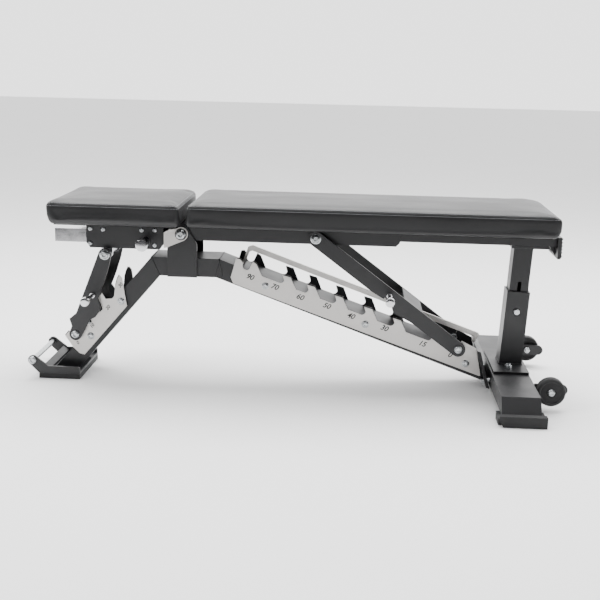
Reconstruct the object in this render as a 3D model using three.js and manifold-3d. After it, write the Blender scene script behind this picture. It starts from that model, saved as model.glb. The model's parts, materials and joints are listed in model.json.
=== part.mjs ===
// An adjustable weight bench: a flat to upright back, a seat that tilts and slides on a rail,
// two toothed ladders with pivoting struts, a rear post that carries the flat back, and wheels.
// Millimetres. +X runs from the seat end to the wheels, +Z is up, -Y is the near side.
// The origin is on the floor under the middle of the bench.
import * as THREE from "three";
import { mergeVertices } from "three/addons/utils/BufferGeometryUtils.js";
import Module from "manifold-3d";

const wasm = await Module();
wasm.setup();

// ---------------------------------------------------------------- driving dimensions
const FIT = 0.3; // gap between pieces that touch
const RUN = 0.4; // radial clearance of a pin or bolt in its hole
const SIDES = [
  ["near", -1],
  ["far", 1],
];

// main pivot, shared by the base, the back and the seat rail
const PIVOT_X = -300.5;
const PIVOT_HEIGHT = 404;
const PIVOT_SHANK = 8; // radius
const PIVOT_HEAD = 13.5;
const PIVOT_WASHER = 16;

// main frame tubes
const FRAME_WIDTH = 100;
const FRAME_DEPTH = 50;
const FRAME_WALL = 3;
const TOP_TUBE_DROP = 67; // from the pivot down to the top face of the top tube
const LEG_BEND_X = -83; // from the pivot to the bend into the front leg
const SPINE_BEND_X = 101; // from the pivot to the bend into the rear spine
const LEG_ANGLE = THREE.MathUtils.degToRad(49.9);
const SPINE_RUN = 702; // level distance from the bend to the raked end of the spine
const SPINE_FALL = 252; // height lost over that distance
const END_RAKE = 0.712; // of the spine's end: along the spine for each mm down

// side plates
const BRACKET_THICK = 6;
const BRACKET_LOBE = 23.5; // radius of the eye around the pivot
const LADDER_THICK = 4;
const GUARD_THICK = 3;
const GUARD_BOLT_HEIGHT = 4.4;
const STRUT_THICK = 5.5;
const STRUT_GAP = 2.5; // between a guard bolt's head and a strut

// back ladder and strut
const BACK_ANGLES = [90, 70, 60, 50, 40, 30, 15]; // degrees, with 0 set by the end of the spine
const STRUT_PIVOT_X = 358; // from the main pivot along the back frame
const ZERO_NOTCH_TO_END = 66.5; // from the flat notch to the end of the spine
const NOTCH_LEAD = 7; // the raised notches sit this much nearer the strut's pivot
const PIN_RADIUS = 8.5;
const PIN_PLAY = 2;
const PIN_HEAD = 11;
const BACK_STRUT_HALF = 19.5; // half of the strut's width
const BAR_LIFT = 44; // from the spine up to the retaining bar
const BAR_HEIGHT = 14;
const BAR_THICK = 6;
const WEB_OVER_BAR = 6; // between the retaining bar and the strut's web
const HANDLE_REACH = 150; // from the bench's middle out to a strut handle's knob

// seat ladder and strut
const SEAT_NOTCHES = 4;
const SEAT_NOTCH_PITCH = 48;
const SEAT_LOWEST_NOTCH = -298; // along the leg from its bend
const SEAT_NOTCH_HEIGHT = 16.8; // above the leg's face
const SEAT_PIN_PLAY = 2.3; // round the pin in a seat notch
const SEAT_STRUT_PIVOT = [-204, -61]; // from the main pivot
const SEAT_STRUT_HALF = 17;

// seat rail and carriage
const RAIL_WIDTH = 80;
const RAIL_HEIGHT = 36;
const RAIL_WALL = 3;
const RAIL_LENGTH = 300;
const RAIL_END_X = -46; // from the pivot
const RAIL_TOP = 2; // above the pivot
const YOKE_THICK = 6;
const CARRIAGE_LENGTH = 208;
const CARRIAGE_END_X = -50;
const CARRIAGE_WALL = 5;
const CARRIAGE_SIDE_GAP = 5; // between the rail and the carriage's sides
const CARRIAGE_DEPTH = 73.7;
const SEAT_TRAVEL = 150;
const POP_PIN = [-96, -25];

// pads
const PAD_WIDTH = 300;
const PAD_THICK = 69;
const SEAT_PAD_BASE = 28.3; // above the pivot
const SEAT_PAD_LENGTH = 354;
const SEAT_PAD_END_X = 11;
const BACK_PAD_BASE = 30.3;
const BACK_PAD_START_X = 23;
const BACK_PAD_LENGTH = 961;
const BOARD_THICK = 12;
const BOARD_INSET = 14;

// back frame
const CHANNEL_DEPTH = 46;
const CHANNEL_WALL = 5;
const CHANNEL_START_X = -18;
const CHANNEL_LENGTH = 597;
const BACK_TUBE_DEPTH = 33;
const BACK_TUBE_WIDTH = 90;
const LANDING_THICK = 7.7;
const END_PLATE_WIDTH = 120;
const END_PLATE_THICK = 8;

// rear foot, post and wheels
const FOOT_WIDTH = 542; // flat top of the rear beam, across
const BEAM_LENGTH = 97; // along X
const BEAM_TOP = 63;
const BEAM_BOTTOM = 20;
const BEAM_WALL = 5;
const CAP_OUT = 318; // outer end of a rubber cap, from the middle
const FLANGE_THICK = 8;
const FLANGE_RISE = 27; // above the spine's top face
const FLANGE_DROP = 58; // below it
const FLANGE_BOLT_DROP = 47;
const FLANGE_BOLT = 5.5;
const POST_WIDTH = 60;
const POST_WALL = 4.5;
const POST_LEAN = THREE.MathUtils.degToRad(2.97);
const SLEEVE_LENGTH = 202;
const POST_TRAVEL = 76;
const POST_ENGAGED = 116; // of the inner post inside the sleeve
const POST_BOLT_UP = 147; // along the sleeve
const WHEEL_RADIUS = 36.3;
const WHEEL_WIDTH = 25;
const WHEEL_OUT = 189; // middle of a wheel from the middle of the bench
const WHEEL_BEHIND = 39; // axle behind the beam
const AXLE_HEIGHT = 52;
const AXLE_RADIUS = 6;

// front foot
const FRONT_FOOT_LENGTH = 112;
const FRONT_FOOT_WIDTH = 184;
const FOOT_PAD_THICK = 14;
const FOOT_PLATE = 6;
const LIFT_BAR_RADIUS = 7;
const LIFT_BAR_HEIGHT = 49.5;
const LIFT_EYE = 13;

const TURN_SEGMENTS = 20; // around bolts, pins and wheels
const HOLE_SEGMENTS = 10;

// ---------------------------------------------------------------- sizes that follow
const frameHalf = FRAME_WIDTH / 2;
const ladderInner = frameHalf + FIT;
const ladderOuter = ladderInner + LADDER_THICK;
const guardInner = ladderOuter + FIT;
const guardOuter = guardInner + GUARD_THICK;
const boltFace = guardOuter + GUARD_BOLT_HEIGHT;
const strutInner = boltFace + STRUT_GAP;
const strutOuter = strutInner + STRUT_THICK;
const bracketOuter = ladderInner + BRACKET_THICK;
const earInner = bracketOuter + 1.5;
const earOuter = earInner + YOKE_THICK;
const railHalf = RAIL_WIDTH / 2;
const carriageInner = railHalf + CARRIAGE_SIDE_GAP;
const carriageOuter = carriageInner + CARRIAGE_WALL;
const topTubeHeight = PIVOT_HEIGHT - TOP_TUBE_DROP;
const spineAngle = Math.atan2(SPINE_FALL, SPINE_RUN);
const spineLength = Math.hypot(SPINE_FALL, SPINE_RUN);
const spineOrigin = [PIVOT_X + SPINE_BEND_X, topTubeHeight];
const legOrigin = [PIVOT_X + LEG_BEND_X, topTubeHeight];
const pinLine = PIN_RADIUS + PIN_PLAY - 0.2; // pin centres above the spine's face

// A point [along, above] on a line that leaves `origin` and falls by `angle`, in world X and Z.
function fromLine(origin, angle, along, above) {
  return [
    origin[0] + along * Math.cos(angle) + above * Math.sin(angle),
    origin[1] - along * Math.sin(angle) + above * Math.cos(angle),
  ];
}

// The reverse: a world X and Z as [along, above] on that line.
function toLine(origin, angle, point) {
  const dx = point[0] - origin[0];
  const dz = point[1] - origin[1];
  return [
    dx * Math.cos(angle) - dz * Math.sin(angle),
    dx * Math.sin(angle) + dz * Math.cos(angle),
  ];
}

const strutPivot = [PIVOT_X + STRUT_PIVOT_X, PIVOT_HEIGHT];
const zeroNotch = spineLength - ZERO_NOTCH_TO_END;
const zeroPin = fromLine(spineOrigin, spineAngle, zeroNotch, pinLine);
const strutLength = Math.hypot(zeroPin[0] - strutPivot[0], zeroPin[1] - strutPivot[1]);
const strutFall = Math.atan2(strutPivot[1] - zeroPin[1], zeroPin[0] - strutPivot[0]);

// Where the strut's pin lands on the ladder with the back raised to `degrees`.
function notchAlong(degrees) {
  const turn = THREE.MathUtils.degToRad(degrees);
  const raised = [
    PIVOT_X + STRUT_PIVOT_X * Math.cos(turn),
    PIVOT_HEIGHT + STRUT_PIVOT_X * Math.sin(turn),
  ];
  const [along, above] = toLine(spineOrigin, spineAngle, raised);
  const reach = strutLength - NOTCH_LEAD;
  return along + Math.sqrt(reach ** 2 - (above - pinLine) ** 2);
}

const backNotches = [...BACK_ANGLES.map(notchAlong), zeroNotch];
const seatStrutPivot = [PIVOT_X + SEAT_STRUT_PIVOT[0], PIVOT_HEIGHT + SEAT_STRUT_PIVOT[1]];
const seatPin = fromLine(legOrigin, -LEG_ANGLE, SEAT_LOWEST_NOTCH, SEAT_NOTCH_HEIGHT);
const seatStrutLength = Math.hypot(seatPin[0] - seatStrutPivot[0], seatPin[1] - seatStrutPivot[1]);
const seatStrutFall = Math.atan2(seatStrutPivot[1] - seatPin[1], seatPin[0] - seatStrutPivot[0]);

// ---------------------------------------------------------------- materials
function finish(color, roughness, metalness) {
  return () => new THREE.MeshStandardMaterial({ color, roughness, metalness });
}
const blackPaint = finish(0x242426, 0.5, 0.2);
const stainless = finish(0xd4d1ce, 0.35, 0.95);
const chrome = finish(0xcfd0d2, 0.12, 1);
const zinc = finish(0xb9bbbd, 0.3, 0.95);
const vinyl = finish(0x232325, 0.55, 0);
const rubber = finish(0x1b1b1c, 0.8, 0);
const plywood = finish(0xa98658, 0.8, 0);

// ---------------------------------------------------------------- solids
// A closed geometry as a manifold-3d solid, with shared corners merged and flat triangles dropped.
function solid(geometry) {
  const bare = geometry.clone();
  bare.deleteAttribute("normal");
  bare.deleteAttribute("uv");
  const merged = mergeVertices(bare, 1e-4);
  const corners = merged.index.array;
  const kept = [];
  for (let i = 0; i < corners.length; i += 3) {
    const [a, b, c] = corners.slice(i, i + 3);
    if (a !== b && b !== c && a !== c) kept.push(a, b, c);
  }
  return new wasm.Manifold(
    new wasm.Mesh({
      numProp: 3,
      vertProperties: merged.attributes.position.array,
      triVerts: new Uint32Array(kept),
    }),
  );
}

function mesh(name, shape, material) {
  const made = shape.getMesh();
  const geometry = new THREE.BufferGeometry();
  geometry.setAttribute("position", new THREE.BufferAttribute(made.vertProperties, 3));
  geometry.setIndex(new THREE.BufferAttribute(made.triVerts, 1));
  geometry.computeVertexNormals();
  const node = new THREE.Mesh(geometry, material());
  node.name = name;
  return node;
}

function union(shapes) {
  return shapes.reduce((sum, shape) => sum.add(shape));
}

function outline(points) {
  return new THREE.Shape(points.map(([x, z]) => new THREE.Vector2(x, z)));
}

function holeIn(shape, x, z, radius) {
  const hole = new THREE.Path();
  hole.absarc(x, z, radius, 0, 2 * Math.PI, true);
  shape.holes.push(hole);
}

// An X-Z outline made solid between two Y values.
function slab(shape, yA, yB) {
  const low = Math.min(yA, yB);
  const high = Math.max(yA, yB);
  const geometry = new THREE.ExtrudeGeometry(shape, {
    depth: high - low,
    bevelEnabled: false,
    curveSegments: HOLE_SEGMENTS,
  });
  geometry.rotateX(Math.PI / 2);
  geometry.translate(0, high, 0);
  return solid(geometry);
}

// A Y-Z outline made solid between two X values.
function beam(shape, low, high) {
  const geometry = new THREE.ExtrudeGeometry(shape, { depth: high - low, bevelEnabled: false });
  geometry.rotateX(Math.PI / 2);
  geometry.rotateZ(Math.PI / 2);
  geometry.translate(low, 0, 0);
  return solid(geometry);
}

function block(xs, ys, zs) {
  const geometry = new THREE.BoxGeometry(xs[1] - xs[0], ys[1] - ys[0], zs[1] - zs[0]);
  geometry.translate((xs[0] + xs[1]) / 2, (ys[0] + ys[1]) / 2, (zs[0] + zs[1]) / 2);
  return solid(geometry);
}

// A turned piece about an axis along Y, from a profile of [radius, y] that starts and ends on it.
function turned(profile, x, z) {
  const rising = profile[0][1] < profile[profile.length - 1][1];
  const ordered = rising ? profile : [...profile].reverse();
  const points = ordered.map(([radius, y]) => new THREE.Vector2(radius, y));
  const geometry = new THREE.LatheGeometry(points, TURN_SEGMENTS);
  geometry.translate(x, 0, z);
  return solid(geometry);
}

function rod(radius, yA, yB, x, z) {
  return turned([[0, yA], [radius, yA], [radius, yB], [0, yB]], x, z);
}

// Points on an arc, with angles in degrees.
function arc(cx, cz, radius, from, to, steps) {
  const points = [];
  for (let i = 0; i <= steps; i++) {
    const angle = THREE.MathUtils.degToRad(from + ((to - from) * i) / steps);
    points.push([cx + radius * Math.cos(angle), cz + radius * Math.sin(angle)]);
  }
  return points;
}

// A box tube across the bench: four corners in X and Z, listed top start, top end, bottom end,
// bottom start, with its ends open.
function boxTube([topA, topB, lowB, lowA], half, wall) {
  const length = Math.hypot(topB[0] - topA[0], topB[1] - topA[1]);
  const run = [(topB[0] - topA[0]) / length, (topB[1] - topA[1]) / length];
  const inward = [run[1], -run[0]];
  const past = wall + 60;
  const shift = (point, along, across) => [
    point[0] + run[0] * along + inward[0] * across,
    point[1] + run[1] * along + inward[1] * across,
  ];
  const bore = outline([
    shift(topA, -past, wall),
    shift(topB, past, wall),
    shift(lowB, past, -wall),
    shift(lowA, -past, -wall),
  ]);
  const skin = slab(outline([topA, topB, lowB, lowA]), -half, half);
  return skin.subtract(slab(bore, wall - half, half - wall));
}

function groupAt(x, y, z, turn = 0) {
  const group = new THREE.Group();
  group.position.set(x, y, z);
  group.rotation.y = turn;
  return group;
}

// ---------------------------------------------------------------- main frame
function mainFrame() {
  const frame = new THREE.Group();
  const legMitre = FRAME_DEPTH * Math.tan(LEG_ANGLE / 2);
  const spineMitre = FRAME_DEPTH * Math.tan(spineAngle / 2);
  const legTop = PIVOT_X + LEG_BEND_X;
  const spineTop = PIVOT_X + SPINE_BEND_X;
  const low = topTubeHeight - FRAME_DEPTH;
  const topTube = boxTube(
    [
      [legTop + FIT, topTubeHeight],
      [spineTop - FIT, topTubeHeight],
      [spineTop - spineMitre - FIT, low],
      [legTop + legMitre + FIT, low],
    ],
    frameHalf,
    FRAME_WALL,
  );
  frame.add(mesh("top_tube", topTube, blackPaint));

  const footTop = FOOT_PAD_THICK + FIT + FOOT_PLATE + FIT;
  const slopeX = (height) => (height - topTubeHeight) / Math.tan(LEG_ANGLE);
  const legWide = FRAME_DEPTH / Math.sin(LEG_ANGLE);
  const leg = boxTube(
    [
      [legTop + slopeX(footTop), footTop],
      [legTop, topTubeHeight],
      [legTop + legMitre, low],
      [legTop + slopeX(footTop) + legWide, footTop],
    ],
    frameHalf,
    FRAME_WALL,
  );
  frame.add(mesh("front_leg_tube", leg, blackPaint));
  return frame;
}

function pivotBracket(name, side) {
  const shape = new THREE.Shape();
  const low = PIVOT_HEIGHT - TOP_TUBE_DROP - FRAME_DEPTH - 1;
  const shoulder = PIVOT_HEIGHT - 40;
  const left = PIVOT_X - 38;
  const right = PIVOT_X + 41.5;
  shape.moveTo(left, low);
  shape.lineTo(right, low);
  shape.lineTo(right, shoulder + 8);
  const eye = arc(PIVOT_X, PIVOT_HEIGHT, BRACKET_LOBE, 8, 165, 12);
  shape.quadraticCurveTo(right - 1, shoulder + 18, eye[0][0], eye[0][1]);
  eye.slice(1).forEach(([x, z]) => shape.lineTo(x, z));
  shape.lineTo(left, shoulder);
  shape.closePath();
  holeIn(shape, PIVOT_X, PIVOT_HEIGHT, PIVOT_SHANK + RUN);
  return mesh(name, slab(shape, side * ladderInner, side * bracketOuter), blackPaint);
}

// A through bolt: head and washer on the near side, nut and washer on the far side, with
// optional collars that fill the gap between two plates.
function throughBolt(name, x, z, size, reach, collar) {
  const profile = [];
  const steps = [
    [size.head * 0.8, -reach - size.washerThick - size.headHeight],
    [size.head, -reach - size.washerThick - size.headHeight * 0.6],
    [size.head, -reach - size.washerThick],
    [size.washer, -reach - size.washerThick],
    [size.washer, -reach],
    [size.shank, -reach],
  ];
  profile.push([0, steps[0][1]], ...steps);
  if (collar) {
    profile.push([size.shank, -collar.outer], [collar.radius, -collar.outer]);
    profile.push([collar.radius, -collar.inner], [size.shank, -collar.inner]);
  }
  const far = profile.map(([radius, y]) => [radius, -y]).reverse();
  return mesh(name, turned([...profile, ...far], x, z), zinc);
}

// ---------------------------------------------------------------- back ladder
// Outline of a toothed plate on the rear spine. `rise` lifts the teeth's tips.
function backLadderOutline(rise, inset) {
  const play = PIN_RADIUS + PIN_PLAY;
  const first = backNotches[0];
  const points = [[first - 17 + inset, -46 + 2 * inset]];
  points.push([first - 29 + inset, -33], [first - 33 + inset, 19.5 + rise]);
  points.push([first - 24, 22.6 + rise], [first - play, pinLine + 6]);
  backNotches.forEach((along, i) => {
    const isFirst = i === 0;
    const isLast = i === backNotches.length - 1;
    points.push(...arc(along, pinLine, play, isFirst ? -180 : -75, 10, isFirst ? 8 : 4));
    if (isLast) return;
    const tip = isFirst ? [along + 11.6, pinLine + 18 + rise] : [along + 1.6, pinLine + 13.3 + rise];
    points.push(tip, [along + 23.4, pinLine + 14.8 + rise], [along + 48, -0.2]);
  });
  const last = zeroNotch;
  points.push([last + 1.6, pinLine + 13.3], [last + 2.4, 32.5 + rise - inset]);
  const rake = (above) => spineLength - END_RAKE * above - inset;
  points.push([rake(27.6), 27.6 + rise - inset]);
  points.push([rake(-38) - 8, -38], [rake(-38) - 12, -39.5 + inset]);
  return outline(points);
}

function ladderPlate(name, shape, side, inner, outer, material) {
  return mesh(name, slab(shape, side * inner, side * outer), material);
}

function backLadder() {
  const group = groupAt(spineOrigin[0], 0, spineOrigin[1], spineAngle);
  const mitre = FRAME_DEPTH * Math.tan(spineAngle / 2);
  const spine = boxTube(
    [
      [FIT, 0],
      [spineLength, 0],
      [spineLength + END_RAKE * FRAME_DEPTH, -FRAME_DEPTH],
      [FIT + mitre, -FRAME_DEPTH],
    ],
    frameHalf,
    FRAME_WALL,
  );
  group.add(mesh("rear_spine_tube", spine, blackPaint));

  for (const [side, sign] of SIDES) {
    const black = backLadderOutline(2.5, 2);
    const bright = backLadderOutline(0, 0);
    group.add(ladderPlate(`back_ladder_${side}`, black, sign, ladderInner, ladderOuter, blackPaint));
    group.add(ladderPlate(`back_guard_${side}`, bright, sign, guardInner, guardOuter, stainless));
  }

  const barStart = backNotches[0] - 16;
  const barEnd = spineLength - 20;
  const bar = outline([
    [barStart, FIT],
    [barStart + 8, FIT],
    [barStart + 8, BAR_LIFT - 6],
    [barStart + 14, BAR_LIFT],
    [barEnd - 8, BAR_LIFT],
    [barEnd - 8, 30],
    [barEnd, 30],
    [barEnd + 4, BAR_LIFT + BAR_HEIGHT - 4],
    [barEnd, BAR_LIFT + BAR_HEIGHT],
    [barStart + 10, BAR_LIFT + BAR_HEIGHT],
    [barStart, BAR_LIFT + BAR_HEIGHT - 8],
  ]);
  group.add(mesh("ladder_retaining_bar", slab(bar, -BAR_THICK / 2, BAR_THICK / 2), stainless));

  return group;
}

// The raked plate that closes the spine and bolts to the rear foot, and its two bolts.
const flangeFace = spineLength + FIT;
const flangeSlope = spineAngle - Math.atan(END_RAKE);
const onSpine = (along, above) => fromLine(spineOrigin, spineAngle, along, above);
const flangeThrough = FLANGE_THICK * Math.hypot(1, END_RAKE);
const flangeFoot = onSpine(flangeFace + END_RAKE * FLANGE_DROP + flangeThrough, -FLANGE_DROP);
const beamFront = flangeFoot[0] + 1;
const flangeBolt = onSpine(flangeFace + END_RAKE * FLANGE_BOLT_DROP, -FLANGE_BOLT_DROP);
const flangeBoltOut = FRAME_WIDTH * 0.62;

// A rod square to the flange, between two distances from its front face.
function flangeRod(radius, from, to, y, originX = 0) {
  const geometry = new THREE.CylinderGeometry(radius, radius, to - from, TURN_SEGMENTS);
  geometry.translate(0, (from + to) / 2, 0);
  geometry.rotateZ(-Math.PI / 2);
  geometry.rotateY(flangeSlope);
  geometry.translate(flangeBolt[0] - originX, y, flangeBolt[1]);
  return solid(geometry);
}

function spineFlange() {
  const group = new THREE.Group();
  const plate = outline([
    onSpine(flangeFace - END_RAKE * FLANGE_RISE, FLANGE_RISE),
    onSpine(flangeFace - END_RAKE * FLANGE_RISE + flangeThrough, FLANGE_RISE),
    flangeFoot,
    onSpine(flangeFace + END_RAKE * FLANGE_DROP, -FLANGE_DROP),
  ]);
  let flange = slab(plate, -FRAME_WIDTH * 0.75, FRAME_WIDTH * 0.75);
  for (const [side, sign] of SIDES) {
    const y = sign * flangeBoltOut;
    flange = flange.subtract(flangeRod(FLANGE_BOLT + RUN, -5, FLANGE_THICK + 5, y));
    const head = flangeRod(FLANGE_BOLT * 1.7, -FIT - 8, -FIT, y);
    const shank = flangeRod(FLANGE_BOLT, -FIT - 2, FLANGE_THICK + 22, y);
    group.add(mesh(`foot_bolt_${side}`, head.add(shank), zinc));
  }
  group.add(mesh("spine_end_flange", flange, blackPaint));
  return group;
}

// ---------------------------------------------------------------- seat ladder
function seatLadderOutline(rise, inset) {
  const points = [[-146.5 - inset, -37.5 + inset], [-95.4 - inset, 21.7], [-93.8 - inset, 32.2 + rise]];
  points.push([-106, 29.7 + rise], [-122, 22.6 + rise]);
  const pocket = PIN_RADIUS + SEAT_PIN_PLAY;
  for (let i = SEAT_NOTCHES - 1; i >= 0; i--) {
    const along = SEAT_LOWEST_NOTCH + i * SEAT_NOTCH_PITCH;
    const base = SEAT_NOTCH_HEIGHT;
    points.push([along + pocket - 6, base - pocket], [along - 4, base - pocket - 0.4]);
    points.push([along - pocket - 6.2, base + 1.5], [along - pocket - 0.2, base + 19.4 + rise]);
    points.push([along + pocket + 9.7 - SEAT_NOTCH_PITCH, base + 18.7 + rise]);
  }
  const end = SEAT_LOWEST_NOTCH - 39 + inset;
  points.push([end + 2, 2], [end, -25], [end + 6, -37.5 + inset]);
  return outline(points);
}

function seatLadder() {
  const group = groupAt(legOrigin[0], 0, legOrigin[1], -LEG_ANGLE);
  for (const [side, sign] of SIDES) {
    const black = seatLadderOutline(2.5, 2);
    const bright = seatLadderOutline(0, 0);
    group.add(ladderPlate(`seat_ladder_${side}`, black, sign, ladderInner, ladderOuter, blackPaint));
    group.add(ladderPlate(`seat_guard_${side}`, bright, sign, guardInner, guardOuter, stainless));
  }
  return group;
}

// ---------------------------------------------------------------- struts
// A strut frame lies along +X from its pivot to its pin: two plates and a web between them.
function strutFrame(name, shape, length, web) {
  holeIn(shape, 0, 0, PIVOT_SHANK + RUN);
  holeIn(shape, length, 0, PIN_RADIUS + RUN);
  const plates = SIDES.map(([, sign]) => slab(shape, sign * strutInner, sign * strutOuter));
  const bridge = slab(outline(web), -strutInner - 1, strutInner + 1);
  return mesh(name, union([...plates, bridge]), blackPaint);
}

const STRUT_BOLT = {
  head: PIN_HEAD,
  headHeight: 7,
  washer: PIN_HEAD + 2,
  washerThick: 1.5,
  shank: PIVOT_SHANK,
};

function strutPin(name, sign, along) {
  const face = strutOuter + FIT;
  const profile = [
    [0, sign * (face + 7)],
    [PIN_HEAD * 0.8, sign * (face + 7)],
    [PIN_HEAD, sign * (face + 4.5)],
    [PIN_HEAD, sign * face],
    [PIN_RADIUS, sign * face],
    [PIN_RADIUS, sign * (ladderInner - 5)],
    [0, sign * (ladderInner - 5)],
  ];
  return mesh(name, turned(profile, along, 0), zinc);
}

function strutHandle(name, along, above) {
  const start = -strutOuter - FIT;
  const profile = [
    [0, start],
    [8, start],
    [8, start - 6],
    [4.5, start - 6],
    [4.5, 12 - HANDLE_REACH],
    [10.5, 12 - HANDLE_REACH],
    [12, 9 - HANDLE_REACH],
    [12, 2 - HANDLE_REACH],
    [9, -HANDLE_REACH],
    [0, -HANDLE_REACH],
  ];
  return mesh(name, turned(profile, along, above), chrome);
}

function backStrut() {
  const group = groupAt(strutPivot[0], 0, strutPivot[1], strutFall);
  const half = BACK_STRUT_HALF;
  const notch = strutLength * 0.512; // where the handle's rod crosses the strut
  const shape = outline([
    ...arc(0, 0, half, 90, 270, 10),
    [notch - 42, -half],
    [notch - 7, -half + 4],
    [notch - 6, -10],
    [notch + 8, -11],
    [notch + 22, -10],
    [notch + 37, -half - 10],
    [notch + 88, -half - 1],
    ...arc(strutLength, 0, half, -90, 90, 10),
  ]);
  const closing = strutFall - spineAngle; // between the strut and the spine
  const webLow = half - 4.5;
  const webNeeds = BAR_LIFT + BAR_HEIGHT + WEB_OVER_BAR - pinLine - webLow * Math.cos(closing);
  const webEnd = strutLength - webNeeds / Math.sin(closing);
  const web = [
    [webEnd - 62, half - 4.5],
    [webEnd, half - 4.5],
    [webEnd, half - 0.5],
    [webEnd - 62, half - 0.5],
  ];
  group.add(strutFrame("back_strut_frame", shape, strutLength, web));
  const collar = { inner: frameHalf + FIT, outer: strutInner - FIT, radius: 13 };
  group.add(throughBolt("back_strut_bolt", 0, 0, STRUT_BOLT, strutOuter + FIT, collar));
  for (const [side, sign] of SIDES) group.add(strutPin(`back_strut_pin_${side}`, sign, strutLength));
  group.add(strutHandle("back_strut_handle", notch, 1));
  return group;
}

function seatStrut() {
  const group = groupAt(seatStrutPivot[0], 0, seatStrutPivot[1], seatStrutFall);
  const half = SEAT_STRUT_HALF;
  const length = seatStrutLength;
  const shape = outline([
    ...arc(0, 0, half, 90, 270, 10),
    [length - 57, -half - 1],
    [length - 35, -half - 13],
    [length - 18, -half],
    ...arc(length, 0, half, -90, 90, 10),
    [length - 54, half + 6],
    [length - 66, half + 17],
    [length - 94, half + 23],
    [length - 117, half + 6],
    [length - 164, half + 7],
    [24, half + 4],
  ]);
  const web = [
    [length - 160, -half + 0.5],
    [length - 100, -half + 0.5],
    [length - 100, -half + 4.5],
    [length - 160, -half + 4.5],
  ];
  group.add(strutFrame("seat_strut_frame", shape, length, web));
  const collar = { inner: railHalf + 4 + FIT, outer: strutInner - FIT, radius: 12 };
  group.add(throughBolt("seat_strut_bolt", 0, 0, STRUT_BOLT, strutOuter + FIT, collar));
  for (const [side, sign] of SIDES) group.add(strutPin(`seat_strut_pin_${side}`, sign, length));
  group.add(strutHandle("seat_strut_handle", length - 121, 6.7));
  return group;
}

// ---------------------------------------------------------------- seat rail and carriage
function seatRail() {
  const group = groupAt(PIVOT_X, 0, PIVOT_HEIGHT);
  const railEnd = RAIL_END_X - FIT;
  const low = RAIL_TOP - RAIL_HEIGHT;
  let rail = boxTube(
    [
      [railEnd - RAIL_LENGTH, RAIL_TOP],
      [railEnd, RAIL_TOP],
      [railEnd, low],
      [railEnd - RAIL_LENGTH, low],
    ],
    railHalf,
    RAIL_WALL,
  );
  const slotHalf = 5;
  const positions = 6;
  const nearWall = [-railHalf - 1, RAIL_WALL + 1 - railHalf];
  const [pinX, pinZ] = POP_PIN;
  const slotXs = [pinX - SEAT_TRAVEL - slotHalf - 1, pinX + slotHalf + 1];
  rail = rail.subtract(block(slotXs, nearWall, [pinZ - slotHalf, pinZ + slotHalf]));
  for (let i = 0; i < positions; i++) {
    const x = pinX - (SEAT_TRAVEL * i) / (positions - 1);
    rail = rail.subtract(rod(slotHalf + 2.5, nearWall[0], nearWall[1], x, pinZ));
  }
  group.add(mesh("seat_rail", rail, chrome));

  const ear = [
    [RAIL_END_X, -38],
    [RAIL_END_X + 8, -37],
    [8, -17],
    ...arc(0, 0, 18.5, -60, 130, 12),
    [-30, 12],
    [RAIL_END_X, 4],
  ];
  const ears = SIDES.map(([, sign]) => {
    const shape = outline(ear);
    holeIn(shape, 0, 0, PIVOT_SHANK + RUN);
    return slab(shape, sign * earInner, sign * earOuter);
  });
  const cross = block([RAIL_END_X, RAIL_END_X + YOKE_THICK], [-earOuter, earOuter], [-38, 4]);
  group.add(mesh("rail_yoke", union([cross, ...ears]), stainless));

  const [lugX, lugZ] = SEAT_STRUT_PIVOT;
  const lugHalf = railHalf + 4;
  const lug = outline([
    [lugX - 15, low - FIT],
    [lugX - 15, lugZ],
    ...arc(lugX, lugZ, 15, 180, 360, 10),
    [lugX + 15, low - FIT],
  ]);
  holeIn(lug, lugX, lugZ, PIVOT_SHANK + RUN);
  const hollow = block([lugX - 20, lugX + 20], [6 - lugHalf, lugHalf - 6], [lugZ - 20, low - 6]);
  const lugSolid = slab(lug, -lugHalf, lugHalf).subtract(hollow);
  group.add(mesh("rail_strut_lug", lugSolid, chrome));
  return group;
}

// A pad: the X-Z outline and the Y-Z outline, each crowned, meet in one closed solid with a
// pocket in its underside for the board.
function padSolid(side, base, board) {
  const half = PAD_WIDTH / 2;
  const top = base + PAD_THICK;
  const across = outline([
    [4 - half, base],
    [-half, base + 10],
    [-half, top - 15],
    [4 - half, top - 8],
    [16 - half, top - 3.5],
    [0, top],
    [half - 16, top - 3.5],
    [half - 4, top - 8],
    [half, top - 15],
    [half, base + 10],
    [half - 4, base],
  ]);
  const xs = side.map(([x]) => x);
  const crossed = beam(across, Math.min(...xs) - 5, Math.max(...xs) + 5);
  return slab(outline(side), -half - 5, half + 5).intersect(crossed).subtract(board);
}

function boardBlock(startX, endX, base, gap) {
  const half = PAD_WIDTH / 2 - BOARD_INSET + gap;
  return block([startX - gap, endX + gap], [-half, half], [base - gap * 4, base + BOARD_THICK + gap]);
}

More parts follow.
